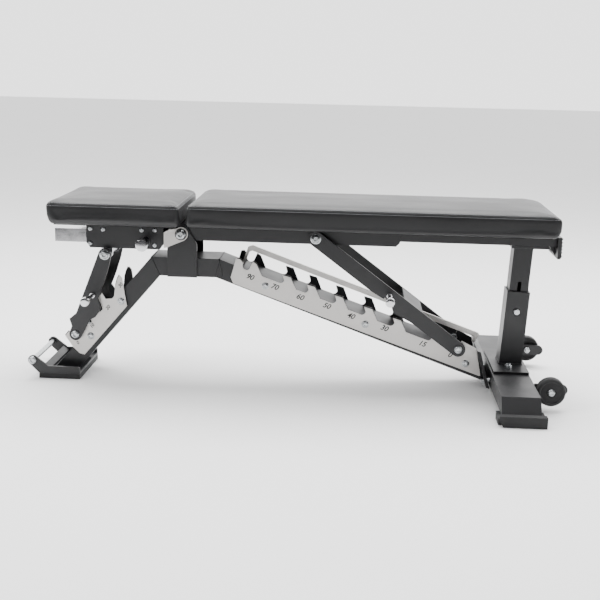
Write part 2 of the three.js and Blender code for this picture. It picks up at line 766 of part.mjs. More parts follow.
function carriage() {
  const group = groupAt(PIVOT_X, 0, PIVOT_HEIGHT);
  const start = CARRIAGE_END_X - CARRIAGE_LENGTH;
  const top = SEAT_PAD_BASE - FIT - 0.3;
  const low = top - CARRIAGE_DEPTH;
  const side = new THREE.Shape();
  side.moveTo(start, top);
  side.lineTo(start, low + 14);
  side.lineTo(start + 10, low);
  side.lineTo(CARRIAGE_END_X - 10, low);
  side.lineTo(CARRIAGE_END_X, low + 14);
  side.lineTo(CARRIAGE_END_X, top);
  side.closePath();
  holeIn(side, POP_PIN[0], POP_PIN[1], 7.2);
  const across = slab(side, -carriageOuter, carriageOuter);
  const hollow = block(
    [start - 1, CARRIAGE_END_X + 1],
    [-carriageInner, carriageInner],
    [low - 1, top - CARRIAGE_WALL],
  );
  group.add(mesh("seat_carriage", across.subtract(hollow), blackPaint));

  const padStart = SEAT_PAD_END_X - SEAT_PAD_LENGTH;
  const base = SEAT_PAD_BASE;
  const padTop = base + PAD_THICK;
  const profile = [
    [padStart + 16, base],
    [padStart + 6, base + 18],
    [padStart, padTop - 21],
    [padStart + 2, padTop - 12],
    [padStart + 14, padTop - 5],
    [padStart + 80, padTop],
    [SEAT_PAD_END_X - 90, padTop],
    [SEAT_PAD_END_X - 12, padTop - 4],
    [SEAT_PAD_END_X - 3, padTop - 9],
    [SEAT_PAD_END_X, padTop - 16],
    [SEAT_PAD_END_X, base + 10],
    [SEAT_PAD_END_X - 5, base],
  ];
  const boardXs = [padStart + 24, SEAT_PAD_END_X - BOARD_INSET];
  const pocket = boardBlock(boardXs[0], boardXs[1], base, FIT);
  group.add(mesh("seat_pad", padSolid(profile, base, pocket), vinyl));
  group.add(mesh("seat_pad_board", boardBlock(boardXs[0], boardXs[1], base + 0.3, 0), plywood));

  const [pinX, pinZ] = POP_PIN;
  const face = -carriageOuter - FIT;
  const sleeve = rod(11, face, face - 24, pinX, pinZ);
  const bored = sleeve.subtract(rod(6.5 + RUN, face + 1, face - 25, pinX, pinZ));
  group.add(mesh("pop_pin_housing", bored, zinc));
  return group;
}

function popPin() {
  const tip = RAIL_WALL - railHalf + 4;
  const face = -carriageOuter - FIT;
  const knob = face - 24 - 11;
  const profile = [
    [0, tip],
    [4.2, tip],
    [4.2, -railHalf - 1],
    [6.5, -railHalf - 1.6],
    [6.5, knob],
    [13, knob],
    [16.4, knob - 3],
    [16.4, knob - 10],
    [13.5, knob - 24],
    [0, knob - 24],
  ];
  const group = groupAt(PIVOT_X, 0, PIVOT_HEIGHT);
  group.add(mesh("pop_pin", turned(profile, POP_PIN[0], POP_PIN[1]), chrome));
  return group;
}

// ---------------------------------------------------------------- back frame
function backFrame(post) {
  const group = groupAt(PIVOT_X, 0, PIVOT_HEIGHT);
  const top = BACK_PAD_BASE - FIT - 1.7;
  const end = CHANNEL_START_X + CHANNEL_LENGTH;
  const side = outline([
    [CHANNEL_START_X, top],
    [CHANNEL_START_X, top - CHANNEL_DEPTH + 8],
    [CHANNEL_START_X + 8, top - CHANNEL_DEPTH],
    [end - 10, top - CHANNEL_DEPTH],
    [end, top - CHANNEL_DEPTH + 10],
    [end, top],
  ]);
  holeIn(side, 0, 0, PIVOT_SHANK + RUN);
  holeIn(side, STRUT_PIVOT_X, 0, PIVOT_SHANK + RUN);
  const hollow = block(
    [CHANNEL_START_X - 1, end + 1],
    [CHANNEL_WALL - frameHalf, frameHalf - CHANNEL_WALL],
    [top - CHANNEL_DEPTH - 1, top - CHANNEL_WALL],
  );
  const channel = slab(side, -frameHalf, frameHalf).subtract(hollow);
  group.add(mesh("back_channel", channel, blackPaint));

  const padEnd = BACK_PAD_START_X + BACK_PAD_LENGTH;
  const tubeEnd = padEnd + 4;
  const tubeLow = top - BACK_TUBE_DEPTH;
  const tube = boxTube(
    [
      [end + FIT, top],
      [tubeEnd, top],
      [tubeEnd, tubeLow],
      [end + FIT, tubeLow],
    ],
    BACK_TUBE_WIDTH / 2,
    FRAME_WALL,
  );
  group.add(mesh("back_frame_tube", tube, blackPaint));

  const landingX = post.topX - PIVOT_X;
  const landing = block(
    [landingX - 35, landingX + 62],
    [-BACK_TUBE_WIDTH / 2, BACK_TUBE_WIDTH / 2],
    [tubeLow - FIT - LANDING_THICK, tubeLow - FIT],
  );
  group.add(mesh("landing_plate", landing, blackPaint));

  const plateStart = tubeEnd + FIT;
  const plateHalf = END_PLATE_WIDTH / 2;
  const plate = block([plateStart, plateStart + END_PLATE_THICK], [-plateHalf, plateHalf], [-35, 22]);
  const rib = outline([
    [plateStart + 1, -35],
    [plateStart + 1, tubeLow - FIT],
    [plateStart - 17, tubeLow - FIT],
  ]);
  const ribs = SIDES.map(([, sign]) => slab(rib, sign * 20, sign * 26));
  group.add(mesh("end_plate", union([plate, ...ribs]), blackPaint));
  const grip = plateStart + END_PLATE_THICK + FIT;
  const ribbed = [block([grip, grip + 2.5], [4 - plateHalf, plateHalf - 4], [-33, 20])];
  const ribCount = 6;
  for (let i = 0; i < ribCount; i++) {
    const z = -30 + i * 9;
    ribbed.push(block([grip + 2, grip + 4.5], [6 - plateHalf, plateHalf - 6], [z, z + 4]));
  }
  group.add(mesh("end_rubber", union(ribbed), rubber));

  const base = BACK_PAD_BASE;
  const padTop = base + PAD_THICK;
  const start = BACK_PAD_START_X;
  const profile = [
    [start + 5, base],
    [start, base + 10],
    [start, padTop - 18],
    [start + 6, padTop - 8],
    [start + 22, padTop - 3],
    [start + 120, padTop],
    [padEnd - 150, padTop],
    [padEnd - 60, padTop - 3.5],
    [padEnd - 20, padTop - 9],
    [padEnd - 4, padTop - 16],
    [padEnd, padTop - 24],
    [padEnd - 3, base + 18],
    [padEnd - 16, base],
  ];
  const boardXs = [start + BOARD_INSET, padEnd - 26];
  const pocket = boardBlock(boardXs[0], boardXs[1], base, FIT);
  group.add(mesh("back_pad", padSolid(profile, base, pocket), vinyl));
  group.add(mesh("back_pad_board", boardBlock(boardXs[0], boardXs[1], base + 0.3, 0), plywood));
  return group;
}

// ---------------------------------------------------------------- rear foot
function rearFoot(front) {
  const group = groupAt(front, 0, 0);
  const half = FOOT_WIDTH / 2;
  const skirt = half + (BEAM_TOP - BEAM_BOTTOM) * 0.66;
  const section = (wall) =>
    outline([
      [wall - half, BEAM_TOP - wall],
      [wall - skirt, BEAM_BOTTOM - (wall ? 1 : 0)],
      [skirt - wall, BEAM_BOTTOM - (wall ? 1 : 0)],
      [half - wall, BEAM_TOP - wall],
    ]);
  const hollow = beam(section(BEAM_WALL), BEAM_WALL, BEAM_LENGTH - BEAM_WALL);
  let shell = beam(section(0), 0, BEAM_LENGTH).subtract(hollow);
  for (const [, sign] of SIDES) {
    const y = sign * flangeBoltOut;
    shell = shell.subtract(flangeRod(FLANGE_BOLT + RUN, 0, FLANGE_THICK + 30, y, front));
  }
  group.add(mesh("rear_foot_beam", shell, blackPaint));

  for (const [side, sign] of SIDES) {
    const inner = sign * (half - 16);
    const outer = sign * CAP_OUT;
    const cap = block(
      [-9, BEAM_LENGTH + 11],
      [Math.min(inner, outer), Math.max(inner, outer)],
      [0, BEAM_BOTTOM - FIT],
    );
    const lipStart = sign * (skirt + 1);
    const lip = block(
      [-9, BEAM_LENGTH + 11],
      [Math.min(lipStart, outer), Math.max(lipStart, outer)],
      [0, BEAM_BOTTOM + 8],
    );
    const cutOut = outline([
      [-14, -5],
      [4, -5],
      [-14, 30],
    ]);
    const trimmed = cap.add(lip).subtract(slab(cutOut, sign * (CAP_OUT - 16), sign * (CAP_OUT + 5)));
    group.add(mesh(`rear_foot_cap_${side}`, trimmed, rubber));

    const bracketIn = sign * (WHEEL_OUT - WHEEL_WIDTH / 2 - 0.8);
    const axleX = BEAM_LENGTH + WHEEL_BEHIND;
    const tongue = outline([
      [BEAM_LENGTH + FIT, 38],
      [BEAM_LENGTH + 66, 38],
      ...arc(BEAM_LENGTH + 71, AXLE_HEIGHT, 14, -90, 90, 8),
      [BEAM_LENGTH + FIT, 66],
    ]);
    holeIn(tongue, axleX, AXLE_HEIGHT, AXLE_RADIUS + RUN);
    const tongueSolid = slab(tongue, bracketIn - sign * 6, bracketIn);
    group.add(mesh(`wheel_bracket_${side}`, tongueSolid, blackPaint));

    const wheelHalf = WHEEL_WIDTH / 2;
    const middle = sign * WHEEL_OUT;
    const bore = AXLE_RADIUS + RUN;
    const wheelProfile = [
      [0, -wheelHalf],
      [WHEEL_RADIUS - 3, -wheelHalf],
      [WHEEL_RADIUS, 3 - wheelHalf],
      [WHEEL_RADIUS, wheelHalf - 3],
      [WHEEL_RADIUS - 3, wheelHalf],
      [0, wheelHalf],
    ].map(([radius, y]) => [radius, y + middle]);
    const wheelBore = rod(bore, middle - wheelHalf - 1, middle + wheelHalf + 1, axleX, AXLE_HEIGHT);
    const recess = rod(18, middle + sign * (wheelHalf - 3), middle + sign * (wheelHalf + 1), axleX, AXLE_HEIGHT);
    const wheel = turned(wheelProfile, axleX, AXLE_HEIGHT).subtract(wheelBore).subtract(recess);
    group.add(mesh(`wheel_${side}`, wheel, rubber));

    const outside = WHEEL_OUT + wheelHalf - 3 + FIT;
    const inside = WHEEL_OUT - wheelHalf - 0.8 - 6 - FIT;
    const axle = [
      [0, inside - 8],
      [9, inside - 8],
      [9.5, inside],
      [AXLE_RADIUS, inside],
      [AXLE_RADIUS, outside],
      [10.5, outside],
      [9, outside + 6],
      [0, outside + 6],
    ].map(([radius, y]) => [radius, sign * y]);
    group.add(mesh(`axle_bolt_${side}`, turned(axle, axleX, AXLE_HEIGHT), zinc));
  }

  const plateTop = BEAM_TOP + FIT + 6;
  const plate = block([4, BEAM_LENGTH], [-96, 96], [BEAM_TOP + FIT, plateTop]);
  group.add(mesh("post_base_plate", plate, blackPaint));
  return group;
}

// The post stands on its base plate and leans back: a sleeve, an inner post that slides in it,
// and a bolt whose tip runs in the inner post's slot.
function post(x, floor) {
  const group = groupAt(x, 0, floor, POST_LEAN);
  const half = POST_WIDTH / 2;
  const tilt = Math.tan(POST_LEAN);
  const sleeveSkin = outline([
    [-half, FIT],
    [-half, SLEEVE_LENGTH],
    [half, SLEEVE_LENGTH],
    [half, FIT + 2 * half * tilt],
  ]);
  const innerHalf = half - POST_WALL - 0.5;
  const hollow = block(
    [POST_WALL - half, half - POST_WALL],
    [POST_WALL - half, half - POST_WALL],
    [-5, SLEEVE_LENGTH + 5],
  );
  const boltHole = rod(4 + RUN, -half - 1, POST_WALL + 1 - half, 0, POST_BOLT_UP);
  const sleeve = slab(sleeveSkin, -half, half).subtract(hollow).subtract(boltHole);
  const sleeveMesh = mesh("post_sleeve", sleeve, blackPaint);
  group.add(sleeveMesh);

  const innerLow = SLEEVE_LENGTH - POST_ENGAGED;
  const landing = PIVOT_HEIGHT + BACK_PAD_BASE - FIT - 1.7 - BACK_TUBE_DEPTH - 2 * FIT - LANDING_THICK;
  const innerTop = (landing - floor) / Math.cos(POST_LEAN) - innerHalf * tilt - FIT;
  const tubeWall = 3;
  const skin = block([-innerHalf, innerHalf], [-innerHalf, innerHalf], [innerLow, innerTop]);
  const bore = block(
    [tubeWall - innerHalf, innerHalf - tubeWall],
    [tubeWall - innerHalf, innerHalf - tubeWall],
    [innerLow - 1, innerTop - 5],
  );
  const slot = block(
    [-4.8, 4.8],
    [-innerHalf - 1, tubeWall + 1 - innerHalf],
    [POST_BOLT_UP - 6, POST_BOLT_UP + POST_TRAVEL + 6],
  );
  group.add(mesh("post_inner", skin.subtract(bore).subtract(slot), blackPaint));

  const bolt = [
    [0, -half - FIT - 6],
    [7, -half - FIT - 6],
    [8.6, -half - FIT - 4],
    [8.6, -half - FIT],
    [4, -half - FIT],
    [4, tubeWall - innerHalf + 1],
    [0, tubeWall - innerHalf + 1],
  ];
  group.add(mesh("post_bolt", turned(bolt, 0, POST_BOLT_UP), zinc));
  return group;
}

// ---------------------------------------------------------------- front foot
function frontFoot(x) {
  const group = groupAt(x, 0, 0);
  const half = FRONT_FOOT_WIDTH / 2;
  const length = FRONT_FOOT_LENGTH;
  group.add(
    mesh("front_foot_pad", block([0, length], [-half, half], [0, FOOT_PAD_THICK]), rubber),
  );
  const floor = FOOT_PAD_THICK + FIT;
  const plate = block([0, length], [-half, half], [floor, floor + FOOT_PLATE]);
  const eye = [-17, LIFT_BAR_HEIGHT];
  const arm = [
    [0, floor],
    [length, floor],
    [length, 30],
    [length - 4, 34],
    [25, 34],
    ...arc(eye[0], eye[1], LIFT_EYE, 50, 232, 12),
  ];
  const arms = SIDES.map(([, sign]) => {
    const shape = outline(arm);
    holeIn(shape, eye[0], eye[1], 6 + RUN);
    return slab(shape, sign * (half - FOOT_PLATE), sign * half);
  });
  const lip = outline([
    [12, 36],
    [15, 38.5],
    [30, 27],
    [30, floor + 1],
    [26, floor + 1],
    [26, 25],
  ]);
  const apron = slab(lip, FOOT_PLATE - half - 1, half - FOOT_PLATE + 1);
  group.add(mesh("front_foot_channel", union([plate, ...arms, apron]), blackPaint));

  const inner = half - FOOT_PLATE - FIT;
  const outer = half + FIT;
  const profile = [
    [0, -outer - 6],
    [8.5, -outer - 6],
    [10.8, -outer - 3.5],
    [10.8, -outer],
    [6, -outer],
    [6, -inner],
    [LIFT_BAR_RADIUS, -inner],
  ];
  const mirrored = profile.map(([radius, y]) => [radius, -y]).reverse();
  const bar = turned([...profile, ...mirrored], eye[0], eye[1]);
  group.add(mesh("lift_bar", bar, zinc));
  return group;
}

// ---------------------------------------------------------------- assembly
const bench = new THREE.Group();
bench.add(mainFrame());
for (const [side, sign] of SIDES) bench.add(pivotBracket(`pivot_bracket_${side}`, sign));
const MAIN_BOLT = {
  head: PIVOT_HEAD,
  headHeight: 9,
  washer: PIVOT_WASHER,
  washerThick: 2.5,
  shank: PIVOT_SHANK,
};
bench.add(throughBolt("pivot_bolt", PIVOT_X, PIVOT_HEIGHT, MAIN_BOLT, earOuter + FIT));
bench.add(backLadder());
bench.add(spineFlange());
bench.add(seatLadder());
bench.add(seatRail());
bench.add(carriage());
bench.add(popPin());
bench.add(seatStrut());
bench.add(backStrut());

bench.add(rearFoot(beamFront));
const postX = beamFront + BEAM_LENGTH / 2 + 8.7;
const postFloor = BEAM_TOP + FIT + 6;
const postRise = PIVOT_HEIGHT - 13 - postFloor;
bench.add(post(postX, postFloor));
bench.add(backFrame({ topX: postX + postRise * Math.tan(POST_LEAN) }));

const footTop = FOOT_PAD_THICK + FOOT_PLATE + 2 * FIT;
const legFootX = legOrigin[0] + (footTop - topTubeHeight) / Math.tan(LEG_ANGLE);
bench.add(frontFoot(legFootX - 34.5));

export default bench;
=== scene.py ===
"""Looks of an adjustable weight bench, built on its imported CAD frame. Everything is in metres."""

import json
import math

import bmesh
import bpy
from mathutils import Matrix, Vector
from mathutils.bvhtree import BVHTree


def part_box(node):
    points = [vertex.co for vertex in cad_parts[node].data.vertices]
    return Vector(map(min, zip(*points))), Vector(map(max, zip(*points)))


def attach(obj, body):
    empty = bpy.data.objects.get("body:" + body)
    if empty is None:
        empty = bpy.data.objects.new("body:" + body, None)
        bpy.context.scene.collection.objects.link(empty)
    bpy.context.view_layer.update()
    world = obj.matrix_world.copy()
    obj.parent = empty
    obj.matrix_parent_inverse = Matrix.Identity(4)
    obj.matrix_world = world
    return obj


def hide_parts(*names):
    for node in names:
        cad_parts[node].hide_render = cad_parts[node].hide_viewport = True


bl_info = {
    "name": "Weight Bench Looks",
    "version": (1, 0, 0),
    "blender": (4, 5, 0),
    "location": "View3D > Sidebar > Bench",
    "description": "Builds the upholstery, fasteners, markings, finishes and stage of a weight bench",
    "category": "Object",
}

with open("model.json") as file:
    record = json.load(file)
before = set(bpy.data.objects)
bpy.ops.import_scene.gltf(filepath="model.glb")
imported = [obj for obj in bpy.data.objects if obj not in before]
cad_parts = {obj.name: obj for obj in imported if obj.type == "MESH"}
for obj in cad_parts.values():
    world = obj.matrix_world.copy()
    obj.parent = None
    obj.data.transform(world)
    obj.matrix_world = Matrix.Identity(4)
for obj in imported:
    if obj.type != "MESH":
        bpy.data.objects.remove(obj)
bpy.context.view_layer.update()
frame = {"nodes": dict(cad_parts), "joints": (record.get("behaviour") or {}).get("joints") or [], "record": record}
NODES = frame["nodes"]
JOINTS = {joint["name"]: joint for joint in frame["joints"]}
PIVOT = Vector(JOINTS["back_hinge"]["pos_m"])
SIDES = (("near", -1), ("far", 1))
MM = 0.001

# The two tube faces that carry the ladders, as a bend and a downward angle. The spine falls 252 mm
# over 702 mm, and the leg slopes at 49.9 degrees, as in the CAD part. JOINT_GAP is its tube gap.
JOINT_GAP = 0.3 * MM
TOP_LOW, TOP_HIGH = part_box("top_tube")
SPINE = (Vector((TOP_HIGH.x + JOINT_GAP, 0, TOP_HIGH.z)), math.atan2(252, 702))
LEG = (Vector((TOP_LOW.x - JOINT_GAP, 0, TOP_HIGH.z)), -math.radians(49.9))
GUARD_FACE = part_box("back_guard_far")[1].y
STRUT_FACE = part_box("back_strut_frame")[1].y


def on_tube(tube, along_mm, above_mm, y=0.0):
    """The point that lies along a sloping tube from its bend, and above its face."""
    origin, fall = tube
    along, above = along_mm * MM, above_mm * MM
    x = origin.x + along * math.cos(fall) + above * math.sin(fall)
    z = origin.z - along * math.sin(fall) + above * math.cos(fall)
    return Vector((x, y, z))


# ------------------------------------------------------------------ what a user would change
def colour_property(name, description, value):
    return bpy.props.FloatVectorProperty(
        name=name, description=description, subtype="COLOR", size=3, min=0, max=1, default=linear(value)
    )


def length_property(name, description, value_mm, highest_mm):
    return bpy.props.FloatProperty(
        name=name, description=description, unit="LENGTH", default=value_mm * MM, min=0, max=highest_mm * MM
    )


def linear(code):
    """An sRGB hex colour as linear light."""
    parts = [int(code[i : i + 2], 16) / 255 for i in (1, 3, 5)]
    return [c / 12.92 if c <= 0.04045 else ((c + 0.055) / 1.055) ** 2.4 for c in parts]


class BenchColours(bpy.types.PropertyGroup):
    """Colours of the bench and its stage."""

    vinyl: colour_property("Vinyl", "Upholstery", "#19191b")
    # The thread is a pale grey, lightened as a painted highlight so the seams show as a light line.
    thread: colour_property("Thread", "Stitching", "#77777a")
    backing: colour_property("Backing", "Cloth under the pads", "#161617")
    paint: colour_property("Paint", "Powder coat on the frame", "#151517")
    stainless: colour_property("Stainless", "Ladder guards and retaining bar", "#d6d3d0")
    chrome: colour_property("Chrome", "Seat rail and pop pin", "#d2d2d4")
    zinc: colour_property("Zinc", "Bolts, pins and lift bar", "#c3c6c8")
    rubber: colour_property("Rubber", "Feet, wheels and end grip", "#161617")
    ink: colour_property("Ink", "Angle numbers", "#0a0a0b")
    floor: colour_property("Floor", "Backdrop", "#f4f4f4")


class BenchSizes(bpy.types.PropertyGroup):
    """Sizes that CAD doesn't hold."""

    stitch: length_property("Stitch", "Length of one stitch", 4.6, 12)
    stitch_gap: length_property("Stitch pitch", "From one stitch to the next", 6.6, 20)
    seam_drop: length_property("Seam drop", "From a pad's top down to its seam", 15, 40)
    seam_radius: length_property("Seam radius", "Half the width of the welt", 1.0, 4)
    shrink: length_property("Foam shrink", "How much smaller a pad starts before it swells", 1.6, 10)
    swell: length_property("Swell limit", "How far a pad's skin may move", 2.6, 16)
    number: length_property("Number height", "Height of an angle number", 20, 40)
    weld: length_property("Weld", "Radius of a weld bead", 2.4, 6)


# ------------------------------------------------------------------ shading
def add_node(tree, kind, options=None, **inputs):
    """A shader node with its options set, and each input given as a value or as a socket to link."""
    made = tree.nodes.new(kind)
    for name, value in (options or {}).items():
        setattr(made, name, value)
    for name, value in inputs.items():
        key = int(name[1:]) if name[0] == "i" and name[1:].isdigit() else name.replace("_", " ")
        socket = made.inputs[key]
        if isinstance(value, bpy.types.NodeSocket):
            tree.links.new(value, socket)
        else:
            socket.default_value = value
    return made


def new_material(name):
    material = bpy.data.materials.new(name)
    material.use_nodes = True
    tree = material.node_tree
    shader = tree.nodes["Principled BSDF"]
    place = add_node(tree, "ShaderNodeTexCoord").outputs["Object"]
    return material, tree, shader, place


def rgba(colour, gain=1.0):
    return [min(1, c * gain) for c in colour[:3]] + [1]


def noise(tree, place, size_mm, detail=4, stretch=None, roughness=0.55):
    """Noise whose lumps are about `size_mm` across, longer along an axis where `stretch` is below 1."""
    if stretch:
        place = add_node(tree, "ShaderNodeMapping", Vector=place, Scale=stretch).outputs[0]
    made = add_node(
        tree, "ShaderNodeTexNoise", Vector=place, Scale=1 / (size_mm * MM), Detail=detail, Roughness=roughness
    )
    return made.outputs["Fac"]


def spread(tree, value, low, high, from_low=0.3, from_high=0.7):
    """A value from 0 to 1 turned into one from `low` to `high`."""
    made = add_node(tree, "ShaderNodeMapRange", Value=value)
    for name, number in zip(("From Min", "From Max", "To Min", "To Max"), (from_low, from_high, low, high)):
        made.inputs[name].default_value = number
    return made.outputs[0]


def mix(tree, amount, first, second):
    made = add_node(tree, "ShaderNodeMix", {"data_type": "RGBA"})
    for index, value in ((0, amount), (6, first), (7, second)):
        if isinstance(value, bpy.types.NodeSocket):
            tree.links.new(value, made.inputs[index])
        else:
            made.inputs[index].default_value = value
    return made.outputs[2]


def bump(tree, height, depth_mm, normal=None, strength=1.0):
    made = add_node(tree, "ShaderNodeBump", Height=height, Distance=depth_mm * MM, Strength=strength)
    if normal is not None:
        tree.links.new(normal, made.inputs["Normal"])
    return made.outputs[0]


def edge_normal_and_highlight_mask(tree, radius_mm):
    """A rounded normal for hard edges, and a mask that is 1 where an edge is, which the finishes use to paint
    their edges lighter as a painted highlight.
    """
    rounded = add_node(tree, "ShaderNodeBevel", {"samples": 4}, Radius=radius_mm * MM).outputs[0]
    flat = add_node(tree, "ShaderNodeNewGeometry").outputs["Normal"]
    turn = add_node(tree, "ShaderNodeVectorMath", {"operation": "DOT_PRODUCT"}, i0=rounded, i1=flat)
    return rounded, spread(tree, turn.outputs["Value"], 1, 0, 0.88, 0.995)


def powder_coat(name, colour):
    """Polyester powder coat, baked on steel: a satin black with fine orange peel, dusty on flat
    faces, with its edges painted lighter in patches: a painted edge highlight that also stands for rubbed wear."""
    material, tree, shader, place = new_material(name)
    rounded, edge = edge_normal_and_highlight_mask(tree, 1.8)
    cloud = noise(tree, place, 90, 5)
    speck = noise(tree, place, 1.1, 2)
    body = mix(tree, spread(tree, cloud, 0, 1), rgba(colour), rgba(colour, 1.35))
    body = mix(tree, spread(tree, speck, 0, 0.12), body, [0.05, 0.05, 0.053, 1])
    # Painted edge highlight, partly rubbed wear: edges are mixed towards grey, in patches set by the cloud noise.
    edge_highlight_and_wear = add_node(tree, "ShaderNodeMath", {"operation": "MULTIPLY"}, i0=edge, i1=spread(tree, cloud, 0, 0.3))
    tree.links.new(mix(tree, edge_highlight_and_wear.outputs[0], body, [0.1, 0.1, 0.105, 1]), shader.inputs["Base Color"])
    tree.links.new(spread(tree, cloud, 0.36, 0.5), shader.inputs["Roughness"])
    tree.links.new(bump(tree, speck, 0.05, rounded, 0.5), shader.inputs["Normal"])
    return material


def brushed_stainless(name, colour):
    """Laser-cut stainless sheet with a fine bead-blasted face: pale, soft reflections with short
    grain marks and faint handling smudges."""
    material, tree, shader, place = new_material(name)
    rounded, edge = edge_normal_and_highlight_mask(tree, 0.8)
    grain = noise(tree, place, 0.7, 3, (0.12, 1, 1))
    smudge = noise(tree, place, 45, 5)
    body = mix(tree, spread(tree, smudge, 0, 1), rgba(colour, 0.9), rgba(colour))
    body = mix(tree, spread(tree, grain, 0, 0.18), body, rgba(colour, 0.62))
    # Painted highlight: edges are painted 10 % lighter than the sheet.
    tree.links.new(mix(tree, edge, body, rgba(colour, 1.1)), shader.inputs["Base Color"])
    shader.inputs["Metallic"].default_value = 0.82
    tree.links.new(spread(tree, smudge, 0.42, 0.54), shader.inputs["Roughness"])
    tree.links.new(bump(tree, grain, 0.03, rounded, 0.6), shader.inputs["Normal"])
    return material


def bright_plate(name, colour, rough, smudge_mm, grain_depth):
    """Electroplated steel over a polished base: a mirror with soft smudges, edges rounded by the
    plating. Chrome is smooth, and zinc is cloudier with a fine machined grain."""
    material, tree, shader, place = new_material(name)
    rounded, _ = edge_normal_and_highlight_mask(tree, 0.9)
    smudge = noise(tree, place, smudge_mm, 5)
    grain = noise(tree, place, 0.5, 2, (1, 0.2, 1))
    tree.links.new(
        mix(tree, spread(tree, smudge, 0, 1), rgba(colour, 0.82), rgba(colour)), shader.inputs["Base Color"]
    )
    shader.inputs["Metallic"].default_value = 1
    tree.links.new(spread(tree, smudge, rough, rough * 1.8), shader.inputs["Roughness"])
    tree.links.new(bump(tree, grain, grain_depth, rounded, 0.5), shader.inputs["Normal"])
    return material


def grained_vinyl(name, colour):
    """PVC upholstery vinyl with an embossed leather grain: small cells whose creased valleys are
    darkened with painted shade, a low sheen on the flats and slow stretch marks over the foam."""
    material, tree, shader, place = new_material(name)
    cells = add_node(
        tree, "ShaderNodeTexVoronoi", {"feature": "DISTANCE_TO_EDGE"}, Vector=place, Scale=1 / (1.7 * MM)
    ).outputs["Distance"]
    wrinkle = noise(tree, place, 0.9, 4)
    stretch = noise(tree, place, 120, 3, (0.5, 1, 1))
    # Painted shade: the grain's valleys are darkened to 55 % of the vinyl's colour.
    valley_shade = spread(tree, cells, 1, 0, 0, 0.12)
    body = mix(tree, spread(tree, stretch, 0, 1), rgba(colour, 0.9), rgba(colour, 1.15))
    tree.links.new(mix(tree, valley_shade, body, rgba(colour, 0.55)), shader.inputs["Base Color"])
    tree.links.new(spread(tree, stretch, 0.4, 0.52), shader.inputs["Roughness"])
    shader.inputs["IOR"].default_value = 1.52
    flats = spread(tree, cells, 0, 1, 0, 0.2)
    raised = add_node(tree, "ShaderNodeMath", {"operation": "ADD"}, i0=flats, i1=wrinkle)
    fine = bump(tree, raised.outputs[0], 0.07, None, 0.7)
    tree.links.new(bump(tree, stretch, 1.2, fine, 0.5), shader.inputs["Normal"])
    return material


def moulded_rubber(name, colour, shine=0.68):
    """Compression-moulded rubber: matte black, with a fine stipple and grey dust in its lows."""
    material, tree, shader, place = new_material(name)
    rounded, edge = edge_normal_and_highlight_mask(tree, 1.5)
    stipple = noise(tree, place, 0.8, 3)
    dust = noise(tree, place, 30, 5)
    body = mix(tree, spread(tree, dust, 0, 0.5), rgba(colour), [0.035, 0.035, 0.036, 1])
    # Painted highlight: edges are painted a lighter grey than the body.
    tree.links.new(mix(tree, edge, body, [0.05, 0.05, 0.052, 1]), shader.inputs["Base Color"])
    tree.links.new(spread(tree, dust, shine, shine + 0.15), shader.inputs["Roughness"])
    tree.links.new(bump(tree, stipple, 0.12, rounded, 0.5), shader.inputs["Normal"])
    return material


def woven_cloth(name, colour, thread_mm):
    """Woven polyester: over-and-under threads with lint caught between them."""
    material, tree, shader, place = new_material(name)
    waves = []
    for axis in ("X", "Y"):
        waves.append(
            add_node(
                tree,
                "ShaderNodeTexWave",
                {"bands_direction": axis},
                Vector=place,
                Scale=1 / (thread_mm * MM) / 6.3,
                Distortion=0.6,
            ).outputs["Fac"]
        )
    weave = add_node(tree, "ShaderNodeMath", {"operation": "MAXIMUM"}, i0=waves[0], i1=waves[1]).outputs[0]
    tree.links.new(mix(tree, weave, rgba(colour, 0.5), rgba(colour, 1.5)), shader.inputs["Base Color"])
    lint = noise(tree, place, 6, 4)
    tree.links.new(spread(tree, lint, 0.8, 0.95), shader.inputs["Roughness"])
    shader.inputs["Sheen Weight"].default_value = 0.3
    tree.links.new(bump(tree, weave, 0.2, None, 0.6), shader.inputs["Normal"])
    return material


def printed_ink(name, colour):
    """Screen-printed ink: flat black with pinholes where the metal shows through."""
    material, tree, shader, place = new_material(name)
    pinholes = noise(tree, place, 0.6, 3)
    body = mix(tree, spread(tree, pinholes, 0, 0.3, 0.66, 0.8), rgba(colour), [0.08, 0.08, 0.08, 1])
    tree.links.new(body, shader.inputs["Base Color"])
    tree.links.new(spread(tree, pinholes, 0.4, 0.6), shader.inputs["Roughness"])
    return material


FINISH_MAKERS = {
    "paint": lambda c: powder_coat("powder_coat", c.paint),
    "stainless": lambda c: brushed_stainless("blasted_stainless", c.stainless),
    "chrome": lambda c: bright_plate("chrome_plate", c.chrome, 0.1, 25, 0.01),
    "zinc": lambda c: bright_plate("zinc_plate", c.zinc, 0.2, 6, 0.04),
    "vinyl": lambda c: grained_vinyl("grained_vinyl", c.vinyl),
    "rubber": lambda c: moulded_rubber("moulded_rubber", c.rubber),
    "plastic": lambda c: moulded_rubber("moulded_plastic", c.rubber, 0.38),
    "thread": lambda c: woven_cloth("sewing_thread", c.thread, 0.5),
    "backing": lambda c: woven_cloth("backing_cloth", c.backing, 0.8),
    "ink": lambda c: printed_ink("printed_ink", c.ink),
}
SLOT_FINISH = {
    "frame_paint": "paint",
    "stainless": "stainless",
    "chrome": "chrome",
    "zinc": "zinc",
    "vinyl": "vinyl",
    "rubber": "rubber",
    "wheel": "rubber",
    "board": "backing",
}


def finish_of(context, kind):
    """The scene's one material of a kind, made when it's first asked for."""
    key = "finish_" + kind
    names = context.scene.get("bench_finishes", {})
    if key not in names:
        made = FINISH_MAKERS[kind](context.scene.bench_colours)
        names = dict(names)
        names[key] = made.name
        context.scene["bench_finishes"] = names
    return bpy.data.materials[names[key]]


